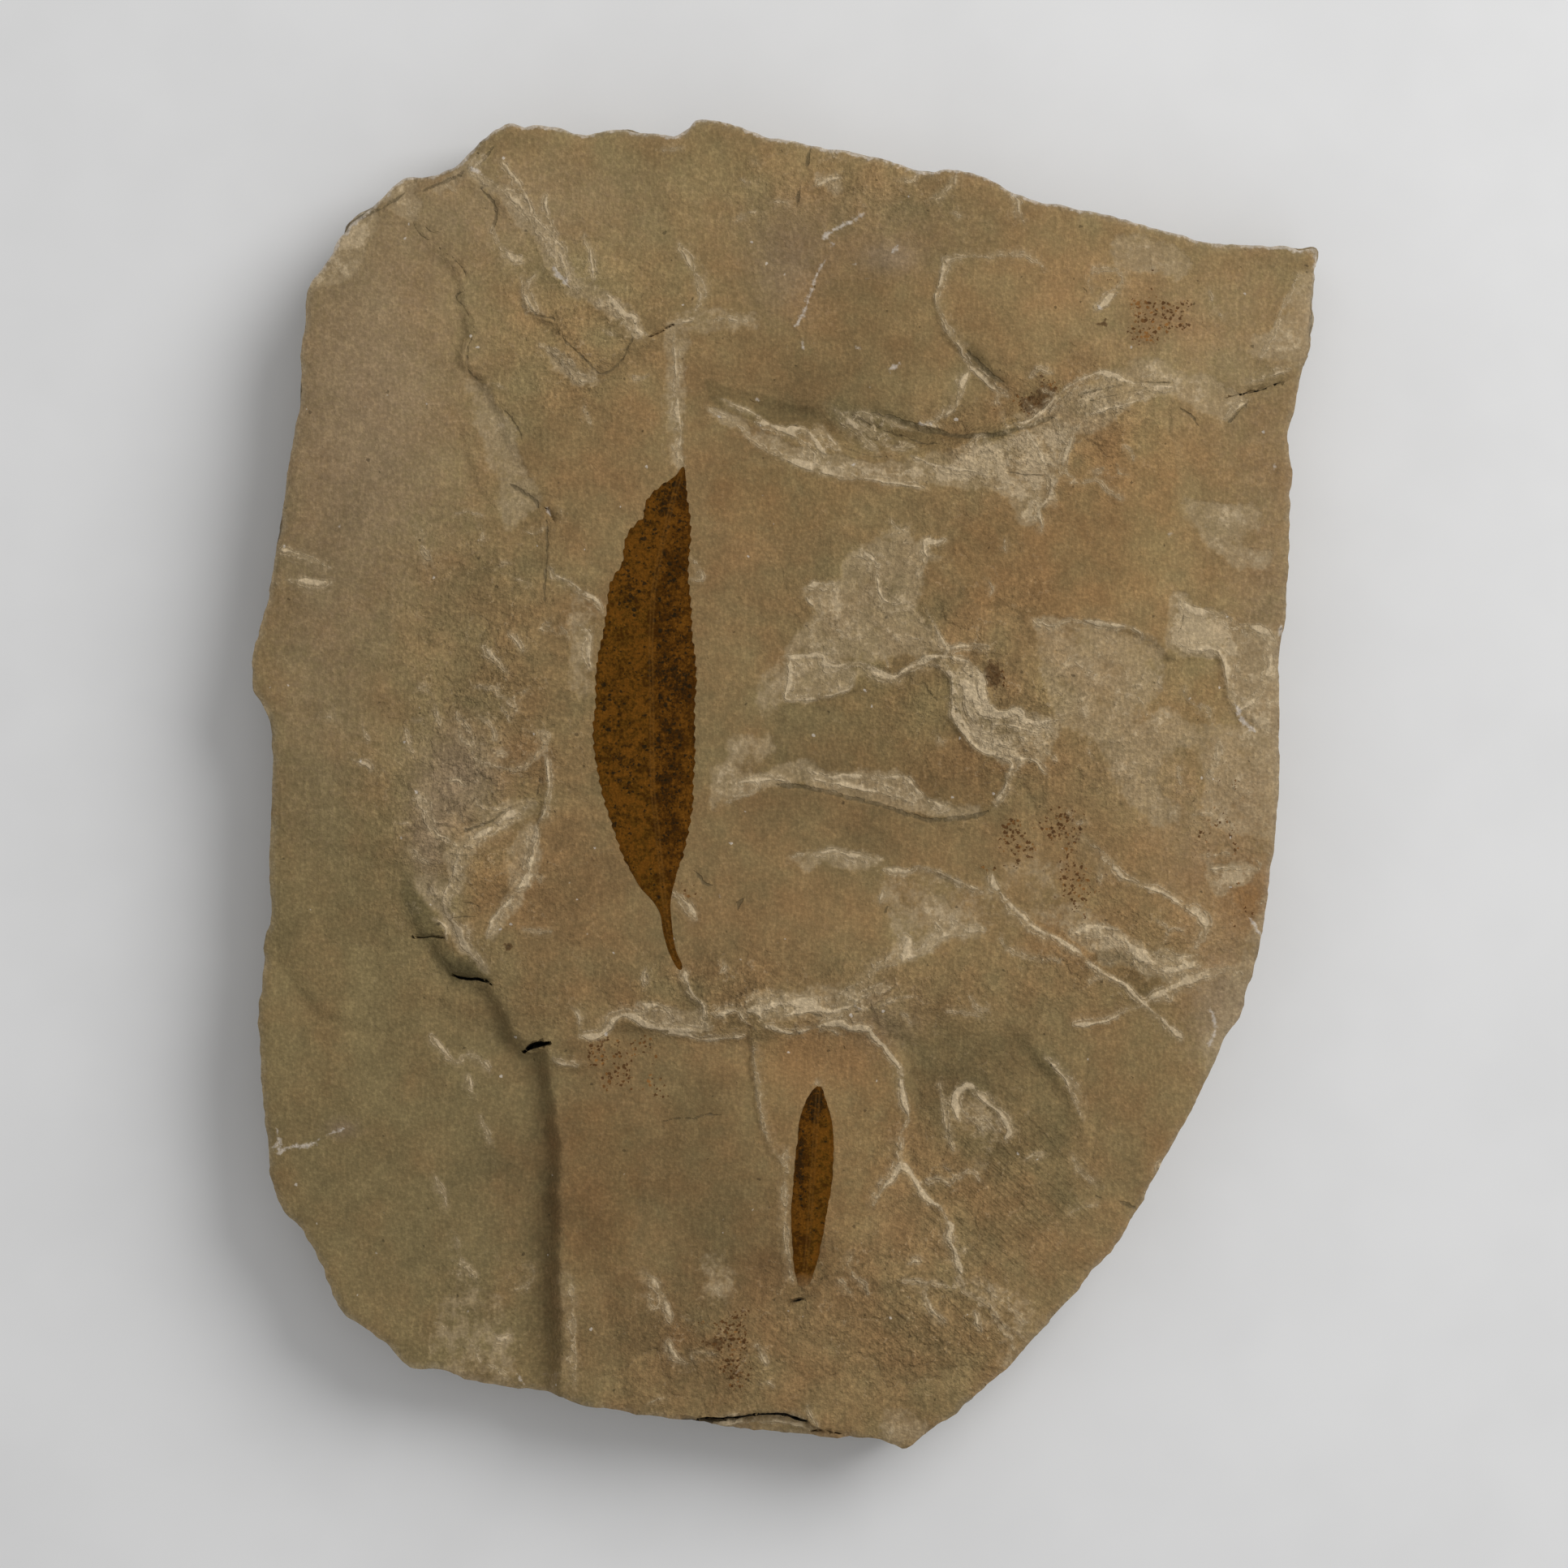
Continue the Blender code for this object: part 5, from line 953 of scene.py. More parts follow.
LARGE_RIB = (
    "-13,-22.2 -13.8,-20 -14.4,-18 -14.7,-15.4 -15,-13 -15.3,-10 -15.8,-5 -16.3,0 -16.4,10 -16.5,17 "
    "-16.3,22 -16,25 -15,30 -13.8,35 -12.7,38.6"
)
SMALL_MARGIN = points_in(
    "4.2,-37.1 3,-38.4 2.2,-40.1 1.7,-42.2 1.6,-44 1.4,-45 1.2,-47.6 1,-50 0.8,-52.5 0.8,-54.6 1,-57.2 "
    "1.1,-59.3 1.4,-60.8 1.8,-61.8 2.9,-61.7 3.3,-60.9 3.8,-59.6 4.3,-57.5 4.8,-55 5.2,-52.5 5.7,-50 "
    "5.9,-47.6 6,-45 5.9,-42.4 5.5,-40.4 4.9,-38.4"
)
SMALL_RIB = "2.3,-61.4 2.9,-56 3.3,-50 3.7,-44 4.1,-38"
TOOTH_PITCH, TOOTH_DEPTH, STALK_TOP = 1.45, 0.27, -12.0


def toothed(ring, spacing):
    """Saw teeth on both margins above the stalk: each rises slowly towards the tip and drops at once."""
    tip = np.argmax(ring[:, 1])
    base = np.argmin(ring[:, 1])
    steps = (np.arange(len(ring)) - tip) % len(ring)
    to_base = (base - tip) % len(ring)
    from_tip = np.where(steps < to_base, steps, len(ring) - steps) * spacing
    phase = (from_tip / TOOTH_PITCH) % 1.0
    fade = smoothstep((ring[:, 1] - STALK_TOP) / 3) * smoothstep((from_tip - 1.0) / 3)
    return grown(ring, TOOTH_DEPTH * fade * (np.where(phase < 0.2, phase / 0.2, (1 - phase) / 0.8) - 0.5))


LARGE_SPACING = 0.26
large_ring = toothed(smooth_line(LARGE_MARGIN, LARGE_SPACING, closed=True), LARGE_SPACING)
small_ring = broken(smooth_line(SMALL_MARGIN, 0.24, closed=True), 0.1, 0.8, 6.0)
print("leaf margins:", len(large_ring), len(small_ring))

# %% [markdown]
# ## The top face
# A Delaunay triangulation takes any mixture of lines and loose points, so the mesh can be fine along a
# ledge and plain elsewhere. The lines of the ledges are edges of the mesh, which keeps their crests sharp.
# A grid that is as fine everywhere would need about three times the triangles.

# %% Triangles between lines and points
def triangulated(rings, lines, loose):
    points, edges = [], []
    for ring in rings:
        first = len(points)
        points += [Vector(place) for place in ring]
        edges += [(first + i, first + (i + 1) % len(ring)) for i in range(len(ring))]
    for line in lines:
        first = len(points)
        points += [Vector(place) for place in line]
        edges += [(first + i, first + i + 1) for i in range(len(line) - 1)]
    points += [Vector(place) for place in loose]
    found, _, faces, *_ = delaunay_2d_cdt(points, edges, [], 1, 1e-4)
    places = np.array([tuple(point) for point in found])
    used = sorted({corner for face in faces for corner in face})
    renumbered = {old: new for new, old in enumerate(used)}
    return places[used], [tuple(renumbered[corner] for corner in face) for face in faces]


def border_of(faces):
    """The corners round a sheet of faces, in order."""
    sides = {(a, b) for face in faces for a, b in zip(face, face[1:] + face[:1])}
    following = {a: b for a, b in sides if (b, a) not in sides}
    loop = [min(following)]
    while following[loop[-1]] != loop[0]:
        loop.append(following[loop[-1]])
    return loop


# %% Loose points
def lattice(ring, spacing):
    """Loose points in even rows, each pushed a little out of line, inside the ring's box."""
    low, high = ring.min(axis=0), ring.max(axis=0)
    columns, rows = np.arange(low[0], high[0], spacing), np.arange(low[1], high[1], spacing * 0.866)
    places = np.array([(x + (row % 2) * spacing / 2, y) for row, y in enumerate(rows) for x in columns])
    return places + np.random.default_rng(7).uniform(-0.18, 0.18, places.shape) * spacing


def tree_of(places):
    tree = kdtree.KDTree(len(places))
    for index, (x, y) in enumerate(places):
        tree.insert((x, y, 0), index)
    tree.balance()
    return tree


def gap_to(others, places):
    tree = tree_of(others)
    return np.array([tree.find((x, y, 0))[2] for x, y in places])


print("loose points in a box of 10 by 10:", len(lattice(np.array([(0, 0), (10, 10)]), 0.69)))


# %% The upper rim, drawn back a little from the outline
def soft_normals(ring, window):
    """Outward directions that turn slowly at corners, so that a ring moved inward doesn't cross itself."""
    step = grown(ring, 1.0) - ring
    total = sum(np.roll(step, shift, axis=0) for shift in range(-window, window + 1))
    return total / np.linalg.norm(total, axis=1)[:, None]


plain_outline = smooth_line(OUTLINE, OUTLINE_SPACING, closed=True)
outward = soft_normals(plain_outline, 5)
torn_by = outline - plain_outline
inset = 0.42 + 0.30 * rough(plain_outline, 5.0, 4, 11.0)
inset += 0.55 * np.exp(-((plain_outline[:, 1] - 58) / 7) ** 2) * (plain_outline[:, 0] > 62)
inset += 0.8 * np.exp(-np.sum(((plain_outline - (-53, 70.4)) / 3.4) ** 2, axis=1))
inset = np.clip(inset, 0.12, 1.4)
top_ring = plain_outline - outward * inset[:, None] + 0.8 * torn_by
print("rim drawn back by:", round(inset.min(), 2), "to", round(inset.max(), 2))

# %% The mesh of the top face
FINE_SPACING, COARSE_SPACING, FINE_BAND, STROKE_SQUARE = 0.37, 0.69, 1.0, 0.3


def crest_and_foot(ledge):
    """The two lines between which a ledge falls, as far as they lie on the plate."""
    line = ledge["line"]
    along = np.gradient(line, axis=0)
    left = np.column_stack([-along[:, 1], along[:, 0]]) / np.linalg.norm(along, axis=1)[:, None]
    foot = line + left * ledge["turn"] * ledge["width"]
    kept = [part[depth_inside(part, top_ring) > 0.5] for part in (line, foot)]
    return [part for part in kept if len(part) > 1]


def points_on_strokes():
    """Points along every stroke, no more than one to a small square, and on both lips of each crack."""
    places = np.vstack([line for rows in strokes.values() for _, _, line in rows])
    squares = np.floor(places / STROKE_SQUARE).astype(int)
    places = places[np.unique(squares, axis=0, return_index=True)[1]]
    lips = [line + np.array((0, lip)) for half, _, line in strokes["crack"] for lip in (half, -half)]
    return np.vstack([places] + lips)


def top_face():
    ledge_lines = [line for ledge in ledges for line in crest_and_foot(ledge)]
    imprints = [grown(ring, -gap) for ring in (large_ring[::2], small_ring[::2]) for gap in (0.22, 0.3)]
    scar_lines = [scar_ring, grown(scar_ring, -SCAR_WALL)]
    fixed = np.vstack([top_ring] + ledge_lines + imprints + scar_lines)
    on_strokes = points_on_strokes()
    on_strokes = on_strokes[gap_to(fixed, on_strokes) > 0.22]
    on_strokes = on_strokes[depth_inside(on_strokes, top_ring) > 0.3]
    fixed = np.vstack([fixed, on_strokes])
    fine = lattice(top_ring, FINE_SPACING)
    fine = fine[gap_to(np.vstack(ledge_lines + scar_lines), fine) < FINE_BAND]
    fine = fine[gap_to(fixed, fine) > 0.26]
    coarse = lattice(top_ring, COARSE_SPACING)
    coarse = coarse[gap_to(np.vstack([fixed, fine]), coarse) > 0.46]
    loose = np.vstack([fine, coarse])
    loose = np.vstack([on_strokes, loose[depth_inside(loose, top_ring) > 0.25]])
    return triangulated([top_ring] + imprints + scar_lines, ledge_lines, loose)


places, faces = top_face()
border = border_of(faces)
assert len(border) == len(top_ring), "the top ring crosses itself"
print("top face:", len(places), "corners")

# %% [markdown]
# ## Relief and paint of the top face
# The ledges give the main heights. On them come the raised lips of the bruised edges, the joints, the open
# cracks, the shallow imprint round each leaf, and a rim that crumbles away. The rim at the far end
# (y above 56) gets a painted highlight in white. Every mark is stored on the corners too, for the material to
# read.

# %% Heights and marks
LIP_HEIGHT, JOINT_DEPTH, IMPRINT_DEPTH, RIM_WEAR = 0.07, 0.16, 0.24, 0.30
# Where the painted highlight of the far rim starts, and over how many millimetres it comes in.
HIGHLIGHT_RIM_START, HIGHLIGHT_RIM_FADE = 56, 10
marks = rock_marks(places)
edge = np.abs(nearest_on_line(places, np.vstack([top_ring, top_ring[:1]]))[0])
# Painted highlight: the rim at the far end faces the lamp and is painted white, in the same mark as the chalk
# scratches.
rim = (0.75 + 0.3 * rough(places, 4.0, 2, 15.0)) * np.exp(-((edge / 0.5) ** 2))
rim *= smoothstep((places[:, 1] - HIGHLIGHT_RIM_START) / HIGHLIGHT_RIM_FADE)
marks["chalk_and_highlight"] = np.maximum(marks["chalk_and_highlight"], rim)
height = rock_height(places) + LIP_HEIGHT * smoothstep((marks["pale"] - 0.3) / 0.3)
height -= JOINT_DEPTH * smoothstep((marks["dark"] - 0.38) / 0.25)
for half, depth, line in strokes["crack"]:
    close = near(places, line, half * 1.6)
    signed, share = nearest_on_line(places[close], line)
    height[close] -= depth * smoothstep(1.35 - np.abs(signed) / tapered(share, line, half))
for ring in (large_ring, small_ring):
    close = near(places, ring, 0.1)
    inward = depth_inside(places[close], grown(ring, -0.18))
    height[close] -= IMPRINT_DEPTH * smoothstep((inward - 0.02) / 0.08)
height -= (RIM_WEAR + 0.2 * rough(places, 2.4, 3, 14.0)) * np.exp(-edge / 0.45)
height = np.minimum(height, TOP)
print("top face between", round(height.min(), 2), "and", round(height.max(), 2))

# %% [markdown]
# ## The broken side and the underside
# The side is built of rings at the heights of the sheets. Each sheet sticks out or draws back a little from
# the next, as torn paper does, and that is what makes shale look like shale. The underside is flat, but for
# one sheet that is lost under a corner and a few low bumps.

# %% The sheets of the side
SHEET_EDGES = [0.0]
sheet_sizes = np.random.default_rng(3)
while SHEET_EDGES[-1] < TOP - 0.7:
    SHEET_EDGES.append(SHEET_EDGES[-1] + sheet_sizes.uniform(0.45, 1.7))
SHEET_EDGES = np.array(SHEET_EDGES[:-1]) / TOP


def side_ring(level, height):
    """How far each corner of the outline is drawn back, for one sheet of the side."""
    lumps = 0.45 * (1 + rough(plain_outline, 13.0, 3, 20.0 + height * 1.6))
    torn_edge = 0.30 * (1 + rough(plain_outline, 3.4, 4, 50.0 + 9.1 * level))
    return np.clip(lumps * (0.35 + abs(height - 0.55)) + torn_edge + 0.25 * (level % 2), 0.0, 2.2)


rings_down = []
for level in range(len(SHEET_EDGES) - 1, -1, -1):
    low = SHEET_EDGES[level]
    high = SHEET_EDGES[level + 1] if level + 1 < len(SHEET_EDGES) else 0.975
    back = side_ring(level, low)
    for share in (high - 0.004, low + 0.004):
        rings_down.append((share, back + (0.5 if share < 0.02 else 0.0)))
print("sheets in the side:", len(SHEET_EDGES))

# %% The underside
LOST_SHEET = 1.4
UNDERSIDE_SCAR = smooth_line([(20.0, 84.0), (24.0, 62.0), (34.0, 47.0), (47.0, 40.0), (70.0, 33.0)], 0.8)
UNDERSIDE_SCAR = broken(UNDERSIDE_SCAR, 0.7, 3.0, 9.0)


def underside(places):
    signed, _ = nearest_on_line(places, UNDERSIDE_SCAR)
    return LOST_SHEET * smoothstep(signed / 0.8) + 0.16 * np.maximum(0.0, rough(places, 9.0, 5, 30.0))


print("underside at a lost corner:", underside(np.array([(60.0, 60.0)])))


# %% Walls from the top face down
def walls_down():
    """The rings of the side, the faces between them, and the numbers of the last ring's corners."""
    tree = tree_of(top_ring)
    corner = np.array([tree.find((x, y, 0))[1] for x, y in places[border]])
    low = underside(plain_outline[corner])
    rings, walls, built = [], [], len(places)
    previous, ahead = np.array(border), np.roll(np.arange(len(border)), -1)
    for share, back in rings_down:
        ring = (plain_outline - outward * back[:, None] + torn_by)[corner]
        rings.append(np.column_stack([ring, low + (height[border] - low) * share]))
        current = built + np.arange(len(border))
        walls += [(previous[i], current[i], current[j], previous[j]) for i, j in enumerate(ahead)]
        previous, built = current, built + len(border)
    return rings, walls, previous


rings, walls, last_ring = walls_down()
print("rings in the side:", len(rings))


# %% The floor of the underside
def underside_floor(foot, last_ring):
    """Loose corners of the underside, and its faces, which share the corners of the last ring."""
    inner = lattice(foot, 2.3)
    inner = inner[depth_inside(inner, foot) > 1.6]
    scar_edges = [UNDERSIDE_SCAR, UNDERSIDE_SCAR + (0.57, 0.57)]
    scar_edges = [line[depth_inside(line, foot) > 1.0] for line in scar_edges]
    inner = inner[gap_to(np.vstack(scar_edges), inner) > 0.9]
    below, below_faces = triangulated([foot], scar_edges, inner)
    foot_tree = tree_of(foot)
    nearest = [foot_tree.find((x, y, 0)) for x, y in below]
    number = np.array([last_ring[hit[1]] if hit[2] < 1e-3 else -1 for hit in nearest])
    fresh = np.flatnonzero(number < 0)
    number[fresh] = last_ring[-1] + 1 + np.arange(len(fresh))
    floor = [tuple(number[list(reversed(face))]) for face in below_faces]
    return np.column_stack([below[fresh], underside(below[fresh])]), floor


floor_points, floor = underside_floor(rings[-1][:, :2], last_ring)
print("faces in the underside:", len(floor))


# %% Put the slab together
def new_piece(name, points, faces, marks):
    mesh = bpy.data.meshes.new(name)
    mesh.from_pydata((np.asarray(points) * MM).tolist(), [], faces)
    mesh.update()
    for label, values in marks.items():
        mesh.attributes.new(label, "FLOAT", "POINT").data.foreach_set("value", np.asarray(values, np.float32))
    mesh.polygons.foreach_set("use_smooth", [True] * len(mesh.polygons))
    mesh.set_sharp_from_angle(angle=0.9)
    piece = bpy.data.objects.new(name, mesh)
    bpy.context.scene.collection.objects.link(piece)
    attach(piece, "root")
    print(name, len(mesh.vertices), "corners,", sum(len(face) - 2 for face in faces), "triangles")
    return piece


points = np.vstack([np.column_stack([places, height])] + rings + [floor_points])
points[:, :2] = np.clip(points[:, :2], BOX_LOW, BOX_HIGH)
on_side = sum(len(ring) for ring in rings)
rest = on_side + len(floor_points)
marks = {name: np.concatenate([values, np.zeros(rest)]) for name, values in marks.items()}
marks["warmth"][len(places):] = 0.4
marks["flaky"][len(places):] = 0.5
marks["side"] = np.concatenate([0.5 * np.exp(-edge / 0.35), np.ones(on_side), np.zeros(len(floor_points))])
faces = [tuple(int(corner) for corner in face) for face in faces + walls + floor]
slab = new_piece("slab_of_shale", points, faces, marks)
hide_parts("shale_slab")

# %% [markdown]
# ## The leaf films
# A leaf in shale is pressed to a film thinner than paper. Each film here is one closed sheet: its upper
# side follows the rock, stands a few hundredths of a millimetre proud, and thins to nothing at the margin.
# The midrib is a low double ridge, and the side veins are faint. The rock's own height is used again for
# the film, so the two can't part.

# %% Side veins
def vein_lines(rib, ring, pitch, lean):
    """Side veins from the rib to near the margin, bending forward."""
    veins = []
    spots = smooth_line(points_in(rib), pitch)[4:-2]
    for index, spot in enumerate(spots):
        for side in (-1, 1):
            steps = np.linspace(0.0, 1.0, 14)[:, None]
            line = spot + steps * (side * 7.5, lean) + steps**2 * (0.0, 1.6)
            line = line[depth_inside(line, ring) > 0.5]
            if len(line) > 2:
                veins.append((0.16, 0.6, broken(line, 0.25, 2.0, index * 1.3 + side)))
    return veins


large_veins = vein_lines(LARGE_RIB, large_ring, 2.9, 3.4)
small_veins = [(0.2, 0.1, smooth_line(points_in(SMALL_RIB), 0.5))]
print("veins:", len(large_veins), len(small_veins))

# %% Build a film
FILM_PROUD, FILM_SWELL, RIB_RIDGE, FILM_BUMPS, FILM_THICKNESS = 0.012, 0.028, 0.035, 0.012, 0.10


def build_film(name, ring, rib, veins, specks, spacing):
    rib_line = smooth_line(points_in(rib), 0.4)
    loose = lattice(ring, spacing)
    depth = depth_inside(loose, ring)
    loose = loose[(depth > spacing * 0.45) & (gap_to(rib_line, loose) > spacing * 0.5)]
    places, faces = triangulated([ring], [], np.vstack([loose, rib_line[depth_inside(rib_line, ring) > 0.1]]))
    depth = np.maximum(depth_inside(places, ring), 0.0)
    signed, _ = nearest_on_line(places, rib_line)
    vein = 0.6 * smoothstep((stroke_level(places, veins, fall=0.4) - 0.2) / 0.5)
    ridge = RIB_RIDGE * np.exp(-((np.abs(signed) - 0.22) / 0.14) ** 2)
    swell = FILM_SWELL * smoothstep(depth / 0.5)
    height = rock_height(places) + FILM_PROUD + swell + ridge + FILM_BUMPS * vein
    height += FILM_BUMPS * rough(places, 1.1, 3, 71.0)
    height = np.minimum(height, TOP)
    points = np.vstack([np.column_stack([places, at]) for at in (height, height - FILM_THICKNESS)])
    border, count = border_of(faces), len(places)
    rim = [(a, a + count, b + count, b) for a, b in zip(border, border[1:] + border[:1])]
    lower = [tuple(c + count for c in reversed(face)) for face in faces]
    marks = {"depth": depth, "rib": signed, "vein": vein, "specks": oval_sum(places, specks, 4)}
    marks = {label: np.concatenate([values, values]) for label, values in marks.items()}
    return new_piece(name, points, faces + rim + lower, marks)


# %% Where the dark specks crowd together: x, y, two radii, how many
LARGE_SPECKS = [
    (-13.6, 12, 2.2, 7, 0.55), (-13.7, -1, 2, 7, 0.45), (-12.8, 15, 1.4, 3.6, 0.25),
    (-15.2, 15, 1, 3, 0.2), (-18.8, 24, 2, 2, 0.4), (-19.4, 2.6, 2.2, 3, 0.45), (-13.4, 31, 1.9, 5, 0.45),
    (-13.8, 22, 2.2, 5, 0.35), (-21.4, 10, 1.6, 6, 0.3), (-18, 12, 3, 8, 0.16), (-17, 30, 2.4, 4, 0.34),
    (-14.4, 35, 2.6, 3, 0.5), (-20.4, -4, 1.4, 3, 0.36), (-13.6, -8, 1.8, 3.6, 0.35),
    (-19.4, -8.2, 1.2, 1.4, 0.4), (-15.4, 2, 1.2, 9, 0.2), (-20, 27, 2, 3, 0.25),
]
SMALL_SPECKS = [
    (4, -38.6, 1.4, 1.8, 1), (3.4, -41.4, 1.3, 2.4, 0.5), (1.9, -47.5, 0.6, 4.5, 0.8),
    (1.8, -57, 0.6, 3.6, 0.3), (1.8, -44, 0.8, 3, 0.3),
]

# %% The two films
large_leaf = build_film("large_leaf", large_ring, LARGE_RIB, large_veins, LARGE_SPECKS, 0.34)
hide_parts("large_leaf_film")
small_leaf = build_film("small_leaf", small_ring, SMALL_RIB, small_veins, SMALL_SPECKS, 0.26)
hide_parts("small_leaf_film")

# %% [markdown]
# ## Effects that several finishes share
# A shader node group is built once and placed wherever it is needed, like a stamp. Five are enough here:
# sandy grain, a mask with a torn edge, fine torn lines, scattered crumbs, and the steps of the bedding.
# Noise is the slow part of a finish, so each finish makes its two noises once and hands them to the groups.

# %% Short ways to write a node tree
def add(tree, kind, inputs=(), **settings):
    made = tree.nodes.new(kind)
    for key, value in settings.items():
        setattr(made, key, value)
    for key, value in dict(inputs).items():
        if isinstance(value, bpy.types.NodeSocket):
            tree.links.new(value, made.inputs[key])
        else:
            made.inputs[key].default_value = value
    return made


def calc(tree, operation, *values):
    return add(tree, "ShaderNodeMath", enumerate(values), operation=operation).outputs[0]


def between(tree, value, low, high, at_low=0.0, at_high=1.0):
    """A soft ramp of the value, from one limit to the other."""
    inputs = {0: value, 1: low, 2: high, 3: at_low, 4: at_high}
    return add(tree, "ShaderNodeMapRange", inputs, interpolation_type="SMOOTHSTEP").outputs[0]


def tinted(tree, factor, first, second, blend="MIX"):
    inputs = {0: factor, 6: first, 7: second}
    return add(tree, "ShaderNodeMix", inputs, data_type="RGBA", blend_type=blend).outputs[2]


def grey(tree, value):
    return add(tree, "ShaderNodeCombineColor", {0: value, 1: value, 2: value}).outputs[0]


def shaded(tree, colour, tone):
    """The colour made lighter or darker: a tone of 1 leaves it as it is."""
    return tinted(tree, 1.0, colour, grey(tree, tone), "MULTIPLY")


def laid(tree, colour, over, cover, share, blend="MIX"):
    """A second colour over the first, where the cover says, and no thicker than its share."""
    return tinted(tree, calc(tree, "MULTIPLY", cover, share), colour, over, blend)


def stretched(tree, place, factors):
    return add(tree, "ShaderNodeVectorMath", {0: place, 1: factors}, operation="MULTIPLY").outputs[0]


def cloud(tree, place, size, detail=3.0, roughness=0.6):
    """Noise whose bumps are about this many millimetres wide, from -0.5 to 0.5."""
    scale = calc(tree, "DIVIDE", 1.0, size) if isinstance(size, bpy.types.NodeSocket) else 1.0 / size
    inputs = {"Vector": place, "Scale": scale, "Detail": detail, "Roughness": roughness}
    return calc(tree, "SUBTRACT", add(tree, "ShaderNodeTexNoise", inputs).outputs[0], 0.5)


# %% Short ways to make and place a group
def new_group(name, inputs, outputs):
    """The defaults say what the sockets are: three numbers make a vector, and one a value."""
    group = bpy.data.node_groups.new(name, "ShaderNodeTree")
    for label, value in inputs.items():
        kind = "NodeSocketVector" if isinstance(value, tuple) else "NodeSocketFloat"
        group.interface.new_socket(label, in_out="INPUT", socket_type=kind).default_value = value
    for label in outputs:
        group.interface.new_socket(label, in_out="OUTPUT", socket_type="NodeSocketFloat")
    return group, group.nodes.new("NodeGroupInput").outputs, group.nodes.new("NodeGroupOutput").inputs


def placed(tree, group, **inputs):
    return add(tree, "ShaderNodeGroup", inputs, node_tree=group).outputs


def feed(group, value, socket):
    group.links.new(value, socket)


# %% Sandy grain
sandy, given, out = new_group(
    "Sandy grain", {"Place": (0.0, 0.0, 0.0), "Size": 0.34, "Strength": 0.6}, ["Tone", "Height"])
grains = cloud(sandy, given["Place"], given["Size"], 1.5, 0.6)
clumps = cloud(sandy, given["Place"], calc(sandy, "MULTIPLY", given["Size"], 3.4), 1.0)
combed = cloud(sandy, stretched(sandy, given["Place"], (1.0, 0.2, 1.0)), given["Size"], 1.0)
total = calc(sandy, "MULTIPLY_ADD", clumps, 0.5, calc(sandy, "MULTIPLY", grains, 2.0))
total = calc(sandy, "MULTIPLY_ADD", combed, 0.8, total)
total = calc(sandy, "MAXIMUM", total, calc(sandy, "MULTIPLY", total, 0.6))
feed(sandy, calc(sandy, "MULTIPLY_ADD", total, given["Strength"], 1.0), out["Tone"])
feed(sandy, total, out["Height"])

# %% A mask with a torn edge
ragged, given, out = new_group(
    "Ragged mask", {"Level": 0.0, "Noise": 0.0, "Tear": 1.0, "Cut": 0.5, "Soft": 0.1}, ["Mask"])
level = calc(ragged, "MULTIPLY_ADD", given["Noise"], given["Tear"], given["Level"])
kept = calc(ragged, "MULTIPLY", level, calc(ragged, "GREATER_THAN", given["Level"], 0.02))
low, high = (calc(ragged, sign, given["Cut"], given["Soft"]) for sign in ("SUBTRACT", "ADD"))
feed(ragged, between(ragged, kept, low, high), out["Mask"])


def ragged_mask(tree, level, noise_value, tear, cut, soft):
    return placed(tree, ragged, Level=level, Noise=noise_value, Tear=tear, Cut=cut, Soft=soft)["Mask"]


# %% Fine torn lines: they follow a level as the lines on a map follow a height
torn_lines, given, out = new_group(
    "Torn lines", {"Level": 0.0, "Noise": 0.0, "Break": 0.0, "Tear": 1.0, "Lines": 3.0}, ["Mask"])
level = calc(torn_lines, "MULTIPLY_ADD", given["Noise"], given["Tear"], given["Level"])
part = calc(torn_lines, "FRACT", calc(torn_lines, "MULTIPLY", level, given["Lines"]))
line = between(torn_lines, calc(torn_lines, "ABSOLUTE", calc(torn_lines, "SUBTRACT", part, 0.5)), 0.17, 0.04)
line = calc(torn_lines, "MULTIPLY", line, between(torn_lines, given["Level"], 0.03, 0.42))
line = calc(torn_lines, "MULTIPLY", line, between(torn_lines, given["Break"], -0.05, 0.05))
feed(torn_lines, line, out["Mask"])

# %% Scattered crumbs
crumbs, given, out = new_group(
    "Crumbs", {"Place": (0.0, 0.0, 0.0), "Size": 0.5, "Amount": 0.1}, ["Mask", "Shade"])
scale = calc(crumbs, "DIVIDE", 1.0, given["Size"])
cells = add(crumbs, "ShaderNodeTexVoronoi", {"Vector": given["Place"], "Scale": scale})
chance = add(crumbs, "ShaderNodeSeparateColor", {0: cells.outputs["Color"]}).outputs
here = calc(crumbs, "LESS_THAN", chance[0], given["Amount"])
radius = calc(crumbs, "MULTIPLY_ADD", chance[1], 0.36, 0.2)
dot = between(crumbs, calc(crumbs, "SUBTRACT", cells.outputs["Distance"], radius), 0.08, -0.08)
feed(crumbs, calc(crumbs, "MULTIPLY", dot, here), out["Mask"])
feed(crumbs, chance[2], out["Shade"])

# %% The steps of the bedding
steps, given, out = new_group("Bedding steps", {"Lie": 0.0, "Noise": 0.0}, ["Tone", "Edge", "Height"])
lie = calc(steps, "MULTIPLY_ADD", given["Noise"], 1.3, given["Lie"])
part, whole = calc(steps, "FRACT", lie), calc(steps, "FLOOR", lie)
shade = add(steps, "ShaderNodeTexWhiteNoise", {"W": whole}, noise_dimensions="1D").outputs["Value"]
feed(steps, calc(steps, "SUBTRACT", shade, 0.5), out["Tone"])
feed(steps, between(steps, part, 0.14, 0.02), out["Edge"])
feed(steps, calc(steps, "ADD", whole, between(steps, part, 0.0, 0.3)), out["Height"])
print("groups:", [group.name for group in bpy.data.node_groups])

